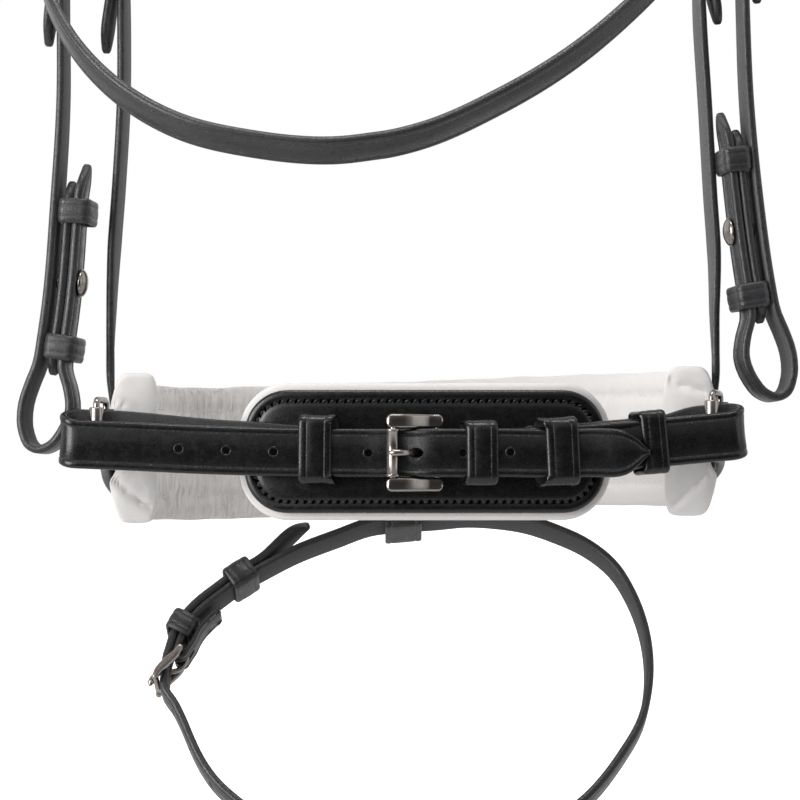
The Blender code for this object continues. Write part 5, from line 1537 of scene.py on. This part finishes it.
def lining():
    soft, boxy = rounded_box(72, 4.2), rounded_box(72, 6.5)
    rows = lining_rows()
    points, held, sewn = [], [], []
    for s, k in rows:
        place, ahead, out, wide = NOSE.frame(s)
        side, near_end, boxed, thick, under = padding_at(s)
        seam = nose_edge(s) - SEAM_IN
        bend = math.exp(-((near_end - 92.0) / 34.0) ** 2) * (1.0 if side == "left" else 0.4)
        for (a0, d0), (a1, d1) in zip(soft, boxy):
            across, depth = a0 + (a1 - a0) * boxed, d0 + (d1 - d0) * boxed
            w = (LINING_H / 2 + 1.6 * boxed) * k * across
            m = thick / 2 * (1.0 - depth * k)
            inner = max(0.0, -depth)
            if near_end > 20.0:
                m -= seam_depth(s) * inner * math.exp(-((abs(w) - seam) / 1.6) ** 2)
                m -= 1.2 * inner * (w / (LINING_H / 2)) ** 2
                if inner > 0.5 and abs(abs(w) - seam) < 0.9:
                    held.append(len(points))
            if depth > 0.8 and abs(w) < seam:
                held.append(len(points))
            flare = 3.4 * (1.0 - ease(within(near_end / 12.0))) * ease(within((abs(w) - 9.5) / 5.0))
            flare *= min(1.0, (31.0 - abs(w)) / 17.0)
            w += noise.noise(Vector((s / 14.0, w / 12.0, 2.0))) * 0.6 * abs(across) ** 3
            spot = place + out * (under - m + flare * max(0.0, depth)) + wide * w
            sewn.append((s, w, inner * (0.1 + 0.85 * bend)))
            if near_end < 3.0:
                spot += ahead * end_folds(spot, w, m, side)
            points.append(spot)
    made = piece("noseband_padding", points, skin(len(rows), len(soft)), WHITE_PADDING)
    made.data.attributes.new("sewn", "FLOAT_VECTOR", "POINT").data.foreach_set("vector", np.array(sewn).ravel())
    inflate(made, held, 0.003)
    step = made.modifiers.new("soften", "SUBSURF")
    step.levels = step.render_levels = 1
    settle(made)
    where = np.zeros(len(made.data.vertices) * 3)
    made.data.attributes["sewn"].data.foreach_get("vector", where)
    for vertex, (s, w, share) in zip(made.data.vertices, where.reshape(-1, 3)):
        if share > 0.01:
            rough = noise.noise(Vector((s / 2.4, w / 34.0, 5.0)))
            rough += 0.5 * noise.noise(Vector((s / 1.4, w / 26.0, 9.0)))
            vertex.co -= NOSE.frame(s)[2] * (MM * rough * share)
    made.data.attributes.remove(made.data.attributes["sewn"])
    hand_over(made, "noseband_lining")


lining()
print("noseband padding:", MADE["noseband_padding"], "faces")

# %% [markdown]
# ## Jaw piece
# The jaw piece is a plate of glazed leather with a rolled edge, sewn to a white cushion that shows as a rim
# all round it. Its outline is a rectangle with big rounded corners, so it is built from loops that step
# inwards from that outline. Each loop has its own height, which makes the rolled edge, the groove under the
# stitches and the slight crown.

# %% Plates with rounded corners
def outline(length, height, corner, inset):
    """One loop, a set distance inside a rounded rectangle, always with the same number of points."""
    a, b = length / 2 - inset, height / 2 - inset
    r = min(max(corner - inset, min(a, b) * 0.25, 0.05), a, b)
    centres = [(a - r, b - r), (r - a, b - r), (r - a, r - b), (a - r, r - b)]
    loop = []
    for quarter, (cx, cz) in enumerate(centres):
        for k in range(17):
            angle = math.radians(90 * quarter + 90 * k / 16)
            loop.append((cx + r * math.cos(angle), cz + r * math.sin(angle)))
        nx, nz = centres[(quarter + 1) % 4]
        angle = math.radians(90 * (quarter + 1))
        start, end = loop[-1], (nx + r * math.cos(angle), nz + r * math.sin(angle))
        straight = (44, 10)[quarter % 2]
        for k in range(1, straight):
            share = k / straight
            loop.append((start[0] + (end[0] - start[0]) * share, start[1] + (end[1] - start[1]) * share))
    return loop


def plate(name, line, sizes, loops, material):
    """A closed plate on a line from loops (inset, out), back first and face last."""
    middle = line.far[-1] / 2
    points, lay, side = [], [], []
    for inset, n in loops:
        for x, z in outline(*sizes, inset):
            points.append(line.point(middle + x, n, z))
            lay.append((x * MM, z * MM))
            side.append((1.0 if n > 0.3 else 0.5 if n > -1.2 else 0.0, min(1.0, inset / 3.5)))
    return piece(name, points, skin(len(loops), len(points) // len(loops)), material, lay, side)


print("tools for plates ready")

# %% Jaw piece
PAD_SEAM = 4.7
PAD_LINE = jaw_line(PAD_N - PAD_T / 2)


def jaw_piece():
    half, middle = PAD_T / 2, PAD_H / 2 - 1.5
    loops = [(middle, -half), (8.0, -half), (1.0, -half), (0.3, 0.4 - half), (0.0, -0.6), (0.05, 0.5),
             (0.3, half - 0.75), (0.8, half - 0.3), (1.6, half), (2.6, half + 0.05), (3.7, half - 0.08),
             (4.3, half - 0.4), (PAD_SEAM, half - 0.55), (5.1, half - 0.4), (5.8, half), (7.5, half + 0.15),
             (11.0, half + 0.18), (15.0, half + 0.05), (middle, half)]
    made = plate("jaw_plate", PAD_LINE, (PAD_L, PAD_H, PAD_CORNER), loops, CRANK_LEATHER)
    hand_over(made, "jaw_pad_leather")

    front, middle = -half - FIT, PAD_LINING_H / 2 - 1.5
    back = front - PAD_LINING_T
    loops = [(middle, back + 0.6), (20.0, back + 0.8), (14.0, back + 1.0), (9.0, back + 1.6),
             (5.5, back + 2.6), (2.8, back + 4.0), (0.9, back + 5.6), (0.1, front - 3.0), (0.0, front - 2.0),
             (0.25, front - 1.1), (0.9, front - 0.45), (1.8, front - 0.1), (3.2, front), (8.0, front),
             (middle, front)]
    made = plate("jaw_cushion", PAD_LINE, (PAD_LINING_L, PAD_LINING_H, PAD_CORNER + 3.0), loops, WHITE_PADDING)
    around = len(made.data.vertices) // len(loops)
    held = [row * around + k for row, (_, n) in enumerate(loops) if n > front - 3.1 for k in range(around)]
    inflate(made, held, 0.0018)
    hand_over(made, "jaw_pad_lining")


jaw_piece()
print("jaw piece:", MADE["jaw_plate"], MADE["jaw_cushion"], "faces")

# %% [markdown]
# ## Crank strap
# One long strap with a row of holes runs round the left ring and back over the jaw piece. A shorter one
# carries the roller buckle and runs round the right ring. Pulled through the rings, they crank the noseband
# close. Two keepers are sewn to the jaw piece and two runners slide on the strap. A punch leaves a low rim
# round each hole.

# %% Crank strap
RIM_OUT, RIM_THICK, RIM_HIGH, RIM_PRESSED = 0.4, 0.38, 0.3, 0.15


def hole_rim(line, s, n, high):
    """The low ring that a punch raises round a hole."""
    place, ahead, out, wide = line.frame(s)
    points = []
    for k in range(24):
        spoke = ahead * math.cos(math.pi * k / 12) + wide * math.sin(math.pi * k / 12)
        for j in range(8):
            b = math.pi * j / 4
            points.append(place + out * (n + high * math.sin(b))
                          + spoke * (HOLE_R + RIM_OUT + RIM_THICK * math.cos(b)))
    count = len(points)
    return piece("rim", points, skin(24, 8, True), CRANK_LEATHER, [NO_LAY] * count, [(1.0, 1.0)] * count)


def crank_straps():
    top = STRAP_T + FIT
    passes = [(JAW.find(0, BEND_X["left"]), 0.0)] + billet(CRANK_S, 0.0, CRANK_BUCKLE_L)[:-2]
    passes += [(JAW.find(0, 36.0), top)]
    for x, n, share in ((75.0, top, 0.45), (93.0, OVER_RUNNER, 0.85), (CRANK_TIP_X, OVER_RUNNER, 1.0)):
        passes.append((JAW.find(0, x), n, STRAP_T, TIP_DOWN * share))
    corner = rounded_end(CRANK_W, 4.0)
    made = sweep("crank_billet", Path(crank_loop("left") + run(JAW, passes)), CRANK_W, CRANK_LEATHER, corner,
                 pointed(CRANK_W, 17.0))
    holes, rims = [tongue_hole(JAW, CRANK_S)], []
    for k in (-5, -4, -3, -2, -1, 1, 2):
        s, level = CRANK_S - TONGUE_REACH + k * HOLE_PITCH, 0.0 if k < 0 else top
        holes.append(punch(JAW, s, HOLE_R, HOLE_R, level))
        high = RIM_PRESSED if k in (-2, 1, 2) else RIM_HIGH    # a keeper presses flat the rims in its way
        rims.append(hole_rim(JAW, s, level + STRAP_T / 2, high))
    hand_over(cut(made, *holes), "crank_strap_left")
    hand_over(merge("crank_hole_rims", rims))

    near = run(JAW, [(CRANK_S + CLEAR, 0.0), (JAW.find(0, BEND_X["right"]), 0.0)])
    lie = Path(chape(JAW, CRANK_S) + near + crank_loop("right")[::-1])
    made = sweep("crank_buckle_strap", lie, CRANK_W, CRANK_LEATHER, end=corner)
    hand_over(cut(made, slot_cutter(JAW, CRANK_S)), "crank_strap_right")
    buckle(["crank_buckle_frame", "crank_buckle_tongue", "crank_buckle_roller"],
           ["bridle", "crank_tongue", "crank_roller"], JAW, CRANK_S, CRANK_W, CRANK_BUCKLE_L, roller=True)


def crank_keepers():
    low, flat, high = -STRAP_T / 2, STRAP_T / 2, STRAP_T * 1.5 + FIT
    wide = CRANK_W + LOOSE
    for name, node, body, x, n_low, n_high, width, reach, lean, shift, corner in (
            ("pad_band_left", "pad_keeper_left", "bridle", PAD_KEEPER_X["left"], low, flat, wide, CRANK_BAND,
             -3.0, 1.4, 3.6),
            ("pad_band_right", "pad_keeper_right", "bridle", PAD_KEEPER_X["right"], low, high, wide, CRANK_BAND,
             5.0, -0.4, 3.6),
            ("inner_runner", "crank_runner_inner", "crank_runner_inner", RUNNER_X["inner"],
             TAIL_N - SKIVED_T / 2, high, wide - 1.0, RUNNER_BAND, 3.0, 0.0, 3.6),
            ("outer_runner", "crank_runner_outer", "crank_runner_outer", RUNNER_X["outer"],
             FAR_N - STRAP_T / 2, flat, CRANK_W + 2.0, SMALL_BAND, 4.0, 0.5, 2.3)):
        band(name, node, body, JAW, JAW.find(0, x), n_low, n_high, width, reach, CRANK_LEATHER, lean, shift,
             corner)


crank_straps()
crank_keepers()
print("crank strap:", MADE["crank_billet"], MADE["crank_buckle_strap"], "faces")

# %% [markdown]
# ## Flash strap
# The flash is a thin strap that hangs from a leather loop in front of the noseband and closes below the
# bit with its own buckle, one fixed keeper and one runner.

# %% Flash strap
def flash_strap():
    first, top = FLASH_BUCKLE, STRAP_T + FIT
    s = FLASH.find(2, flash_place(*FLASH_TURN[FLASH_HEEL])[2], after=first + 350.0)
    meet = (s - FLASH_BUCKLE_L - 16.0, 0.0)
    samples = chape(FLASH, first, FLASH_CHAPE_L, KEEPER_T + FIT + 2 * CURVE_ROOM)
    samples += run(FLASH, [(first + CLEAR, 0.0), meet])[:-1]
    samples += run(FLASH, [meet] + billet(s, 0.0, FLASH_BUCKLE_L)[:-2]
                   + [(s + FLASH_RUNNER + 8.0, top), (s + FLASH_TIP, top + 7.5)])
    made = sweep("flash_band", Path(samples), FLASH_W, SHADED_FLASH_LEATHER, end=pointed(FLASH_W, 15.0))
    cut(made, slot_cutter(FLASH, first))
    cut(made, tongue_hole(FLASH, s))
    cut(made, *[punch(FLASH, s - TONGUE_REACH + k * HOLE_PITCH, HOLE_R, HOLE_R, 0.0 if k < 0 else top)
                for k in (-3, -2, -1, 1)])
    hand_over(made, "flash_strap", "flash")
    buckle(["flash_buckle_frame", "flash_buckle_tongue"], ["flash", "flash_tongue"], FLASH, first, FLASH_W,
           FLASH_BUCKLE_L)
    low, high = -STRAP_T / 2 - CURVE_ROOM, STRAP_T * 1.5 + FIT + CURVE_ROOM
    band("flash_keeper", "flash_fixed_keeper", "flash", FLASH, first + FLASH_KEEPER, low, high + 0.4, FLASH_W,
         SMALL_BAND, SHADED_FLASH_LEATHER)
    band("flash_slider", "flash_runner", "flash_runner", FLASH, first + FLASH_RUNNER, low, high, FLASH_W,
         RUNNER_BAND, SHADED_FLASH_LEATHER)


def flash_loop():
    """The loop under the noseband that the flash strap hangs in."""
    place, along, out, wide = FLASH.frame(FLASH.find(0, LOOP_X, after=FLASH_BUCKLE))
    half_w = FLASH_W / 2 + 2 * FIT + TAB_T / 2
    high = STRAP_T / 2 + FIT + CURVE_ROOM + TAB_T / 2
    low = -high - LOOP_SLACK
    face = NOSE.point(NOSE.find(0, LOOP_X), STRAP_T / 2 + FIT + TAB_T / 2)
    ends = [(FLASH_W / 2 - 1.0, high), (-half_w, high), (-half_w, low), (half_w, low), (half_w + 1.0, high)]
    corners = [place + wide * a + out * b for a, b in ends]
    corners += [Vector((LOOP_X, face.y, face.z - NOSE_H / 2 + 3.0)), Vector((LOOP_X, face.y, face.z + 6.0))]
    path = cornered([(p.y, p.z) for p in corners], 1.6)
    samples = []
    for i, (y, z) in enumerate(path):
        twist = ease(max(0.0, i / (len(path) - 1) - 0.6) / 0.4)
        samples.append((Vector((LOOP_X, y, z)), along.lerp(Vector((1.0, 0.0, 0.0)), twist), TAB_T))
    lie = Path(samples, soften=0.5)
    if lie.out[-1][1] < 0:
        lie.out = -lie.out
    width = FLASH_W + 1.0
    hand_over(sweep("flash_hanging_loop", lie, width, SHADED_FLASH_LEATHER, end=rounded_end(width, 4.0)), "flash_loop")


flash_strap()
flash_loop()
print("flash strap:", MADE["flash_band"], "faces")

# %% [markdown]
# ## Stitches
# Saddlers stitch through slanted awl holes, so every stitch lies at an angle to its row. One node group makes
# all the rows. It turns a polyline into a curve, spaces points along it by the pitch, lays a short bead of
# thread on each with its top along the strap's outward direction, and slants it. A small random turn keeps
# the rows from looking printed.

# %% Stitch rows
def stitch_rows():
    tree = bpy.data.node_groups.new("stitch_rows", "GeometryNodeTree")
    ports = tree.interface
    ports.new_socket("Geometry", in_out="OUTPUT", socket_type="NodeSocketGeometry")
    for name, kind in (("Geometry", "Geometry"), ("Pitch", "Float"), ("Length", "Float"), ("Thread", "Float"),
                       ("Slant", "Float"), ("Seed", "Int"), ("Thread material", "Material")):
        ports.new_socket(name, in_out="INPUT", socket_type="NodeSocket" + kind)
    given = add(tree, "NodeGroupInput").outputs

    def step(kind, sockets, result, **settings):
        return add(tree, kind, sockets, **settings).outputs[result]

    curve = step("GeometryNodeMeshToCurve", {"Mesh": given["Geometry"]}, "Curve")
    spaced = step("GeometryNodeResampleCurve", {"Curve": curve, "Length": given["Pitch"]}, "Curve", mode="LENGTH")
    tangent = step("GeometryNodeInputTangent", {}, "Tangent")
    up = step("GeometryNodeInputNamedAttribute", {"Name": "up"}, "Attribute", data_type="FLOAT_VECTOR")
    ahead = step("FunctionNodeAlignRotationToVector", {"Vector": tangent}, "Rotation", axis="X")
    level = step("FunctionNodeAlignRotationToVector", {"Rotation": ahead, "Vector": up}, "Rotation", axis="Z",
                 pivot_axis="X")
    chance = add(tree, "FunctionNodeRandomValue", {"Min": -0.06, "Max": 0.06, "Seed": given["Seed"]},
                 data_type="FLOAT")
    turn = maths(tree, "ADD", given["Slant"], chance.outputs["Value"])
    spin = step("ShaderNodeCombineXYZ", {"Z": turn}, "Vector")
    slanted = step("FunctionNodeEulerToRotation", {"Euler": spin}, "Rotation")
    laid = step("FunctionNodeRotateRotation", {"Rotation": level, "Rotate By": slanted}, "Rotation",
                rotation_space="LOCAL")
    ball = step("GeometryNodeMeshUVSphere", {"Segments": 8, "Rings": 6, "Radius": 0.5}, "Mesh")
    thick = given["Thread"]
    thin = step("ShaderNodeCombineXYZ", {"X": given["Length"], "Y": thick, "Z": thick}, "Vector")
    bead = step("GeometryNodeTransform", {"Geometry": ball, "Scale": thin}, "Geometry")
    rows = step("GeometryNodeInstanceOnPoints", {"Points": spaced, "Instance": bead, "Rotation": laid},
                "Instances")
    real = step("GeometryNodeRealizeInstances", {"Geometry": rows}, "Geometry")
    dyed = step("GeometryNodeSetMaterial", {"Geometry": real, "Material": given["Thread material"]}, "Geometry")
    even = step("GeometryNodeSetShadeSmooth", {"Geometry": dyed}, "Geometry")
    add(tree, "NodeGroupOutput", {"Geometry": even})
    return tree


STITCHES = stitch_rows()


def stitch(name, rows, pitch, length, thick, slant, seed, thread=BLACK_THREAD, body="bridle"):
    """One object of stitches from rows of (place, up) pairs. Pitch, length and thickness in millimetres."""
    points, edges, ups = [], [], []
    for row in rows:
        start = len(points)
        for place, up in row:
            points.append(tuple(Vector(place) * MM))
            ups.extend(Vector(up).normalized())
        edges += [(start + i, start + i + 1) for i in range(len(row) - 1)]
    mesh = bpy.data.meshes.new(name)
    mesh.from_pydata(points, edges, [])
    mesh.attributes.new("up", "FLOAT_VECTOR", "POINT").data.foreach_set("vector", ups)
    made = put(name, mesh)
    step = made.modifiers.new("stitches", "NODES")
    step.node_group = STITCHES
    values = {"Pitch": pitch / 1000, "Length": length / 1000, "Thread": thick / 1000, "Slant": slant, "Seed": seed,
              "Thread material": thread}
    for socket in STITCHES.interface.items_tree:
        if socket.in_out == "INPUT" and socket.name in values:
            step[socket.identifier] = values[socket.name]
    hand_over(settle(made), None, body)


print("one stitch maker for all rows:", STITCHES.name)

# %% [markdown]
# The rows follow the same lines as the pieces that they sew. The jaw piece has one row all round, in the
# groove of its plate, and at each stitch a flat black bead set across it is painted shade for its dark awl
# hole. The noseband has a row near both edges, black on the leather and white in the channel that it draws
# into the padding. Folded strap ends are sewn down on both edges beside their buckles.

# %% Sewing it together
SEW_IN = 2.0                                      # from a strap's edge
SEW_FROM, SEW_STOP = 8.5, 1.5                     # from the heel bar, and short of the tail's end
BACK_N = -STRAP_T / 2 - FIT - SKIVED_T


def line_row(line, s_from, s_to, n, w, sign=1.0, step=1.5):
    """A row along a line at a height n and a side offset w, or w as a function of s."""
    count = max(2, int(abs(s_to - s_from) / step))
    row = []
    for k in range(count + 1):
        s = s_from + (s_to - s_from) * k / count
        row.append((line.point(s, n, w(s) if callable(w) else w), line.frame(s)[2] * sign))
    return row


def sew_jaw_piece():
    middle = PAD_LINE.far[-1] / 2
    loop = [(PAD_LINE.point(middle + x, PAD_T / 2 - 0.5, z), PAD_LINE.frame(middle + x)[2])
            for x, z in outline(PAD_L, PAD_H, PAD_CORNER, PAD_SEAM)]
    stitch("jaw_stitches", [loop + loop[:1]], 3.4, 2.5, 1.15, 0.5, 3)
    # Painted shade: flat black beads stand for the dark of the awl holes.
    holes = [(place + up * 0.3, up) for place, up in loop[1:] + loop[:1]]
    stitch("jaw_awl_hole_shade", [holes + holes[:1]], 3.4, 2.4, 0.95, 1.1, 4, HOLE_SHADE)


def sew_noseband():
    grain, channel = [], []
    for sign in (1.0, -1.0):
        grain.append(line_row(NOSE, 20.0, NOSE_L - 20.0, STRAP_T / 2, lambda s, k=sign: k * (nose_edge(s) - 4.4)))
        row = []
        for k in range(int((NOSE_L - 56.0) / 1.5)):
            s = 28.0 + 1.5 * k
            _, _, _, thick, under = padding_at(s)
            deep = under - thick + 0.45 + seam_depth(s)
            row.append((NOSE.point(s, deep, sign * (nose_edge(s) - SEAM_IN)), NOSE.frame(s)[2] * -1.0))
        channel.append(row)
    stitch("noseband_stitches", grain, 3.3, 2.5, 0.7, 0.4, 5)
    stitch("padding_stitches", channel, 2.6, 2.0, 0.8, 0.3, 6, WHITE_THREAD)


def sew_strap_ends():
    rows = []
    for side in SIGN:
        for line, s, width in ((CHEEK[side], CHEEK_BUCKLE[side], CHEEK_W),
                               (HANGER[side], HANGER_BUCKLE[side], HANGER_W),
                               (THROAT[side], THROAT_BUCKLE[side], THROAT_W)):
            for w in (-width / 2 + SEW_IN, width / 2 - SEW_IN):
                for n, sign in ((STRAP_T / 2, 1.0), (BACK_N, -1.0)):
                    rows.append(line_row(line, s + SEW_FROM, s + CHAPE_L - SEW_STOP, n, w, sign))
    for w in (-CRANK_W / 2 + 2.2, CRANK_W / 2 - 2.2):
        rows.append(line_row(JAW, CRANK_S + SEW_FROM, CRANK_S + CHAPE_L - SEW_STOP, STRAP_T / 2, w))
    stitch("strap_end_stitches", rows, 3.2, 2.5, 0.7, 0.4, 7)

    under = BACK_N - KEEPER_T - FIT - 2 * CURVE_ROOM
    tail = [line_row(FLASH, FLASH_BUCKLE + 21.0, FLASH_BUCKLE + FLASH_CHAPE_L - 2.0, n, w, sign)
            for n, sign in ((STRAP_T / 2, 1.0), (under, -1.0))
            for w in (-FLASH_W / 2 + SEW_IN, FLASH_W / 2 - SEW_IN)]
    stitch("flash_stitches", tail, 3.2, 2.5, 0.7, 0.4, 8, body="flash")


sew_jaw_piece()
sew_noseband()
sew_strap_ends()
print("stitches:", {name: count for name, count in MADE.items() if "stitches" in name})

# %% [markdown]
# ## Stage, light and camera
# The bridle hangs in a white room. The wall is the white world itself. The floor is pale and lies below the
# flash strap, and it darkens towards the camera, so little light comes up onto the faces of the straps. Large
# soft lamps from above and from both sides draw the bright lines on edges and steel. A card on the left adds
# gloss only, no diffuse light. The camera's own side of the room is dark, which keeps the faces of black
# leather black.

# %% Stage and light
MIDDLE = (0.0, 0.0, -0.45)                        # what every lamp points at


def lamp(name, place, size, power):
    light = bpy.data.lights.new(name, "AREA")
    light.shape = "RECTANGLE"
    light.size, light.size_y = size
    light.energy = power
    made = put(name, light)
    made.location = place
    made.rotation_euler = (Vector(MIDDLE) - Vector(place)).to_track_quat("-Z", "Y").to_euler()
    return made


def floor():
    paint, tree, spot = new_material("pale_floor_paint")
    y = add(tree, "ShaderNodeSeparateXYZ", {"Vector": spot}).outputs["Y"]
    near = remap(tree, y, -0.75, -0.3, interpolation_type="SMOOTHSTEP")
    seen = add(tree, "ShaderNodeLightPath").outputs["Is Camera Ray"]
    surface(tree, {"Base Color": mix(tree, near, hex_colour("#484848"), hex_colour("#dadada")), "Roughness": 0.85,
                   "Emission Color": hex_colour("#ffffff"), "Emission Strength": seen})
    bpy.ops.mesh.primitive_plane_add(size=60.0, location=(0.0, 0.0, -0.76))
    made = bpy.context.object
    made.name = "floor"
    made.data.materials.append(paint)
    return made


def world():
    made = bpy.context.scene.world or bpy.data.worlds.new("room")
    bpy.context.scene.world = made
    made.use_nodes = True
    tree = made.node_tree
    tree.nodes.clear()
    aim = add(tree, "ShaderNodeTexCoord").outputs["Generated"]
    place = add(tree, "ShaderNodeSeparateXYZ", {"Vector": aim}).outputs
    behind = remap(tree, place["Y"], -0.45, 0.25, 0.03, 0.9, interpolation_type="SMOOTHSTEP")
    above = remap(tree, place["Z"], -0.05, 0.6, 0.0, 0.5, interpolation_type="SMOOTHSTEP")
    lit, wall = [add(tree, "ShaderNodeBackground", {"Strength": strength, "Color": hex_colour("#ffffff")})
                 for strength in (maths(tree, "MAXIMUM", behind, above), 1.0)]
    seen = add(tree, "ShaderNodeLightPath").outputs["Is Camera Ray"]
    both = add(tree, "ShaderNodeMixShader", {0: seen, 1: lit.outputs["Background"], 2: wall.outputs["Background"]})
    add(tree, "ShaderNodeOutputWorld", {"Surface": both.outputs["Shader"]})


floor()
world()
lamp("overhead", (0.0, -0.35, 0.9), (1.0, 0.3), 8.5)
lamp("left_side", (-1.4, -1.1, -0.2), (1.0, 1.2), 29.0)
lamp("right_side", (1.6, -0.6, -0.1), (0.8, 1.2), 3.0)
lamp("left_card", (-0.85, -1.3, 0.1), (0.9, 1.2), 4.2).visible_diffuse = False
print("room ready")

# %% [markdown]
# The camera looks level at the bridle from behind, at the height of the jaw piece, from a little over a
# metre.

# %% Camera
lens = bpy.data.cameras.new("camera")
lens.sensor_width = 36.0
lens.lens = 120.74
lens.shift_y = 0.085
camera = put("camera", lens)
camera.location = (0.0, -1.135, -0.4474)
camera.rotation_euler = (math.radians(90.0), 0.0, 0.0)
bpy.context.scene.camera = camera
bpy.context.scene.view_settings.view_transform = "Standard"
print("camera ready")
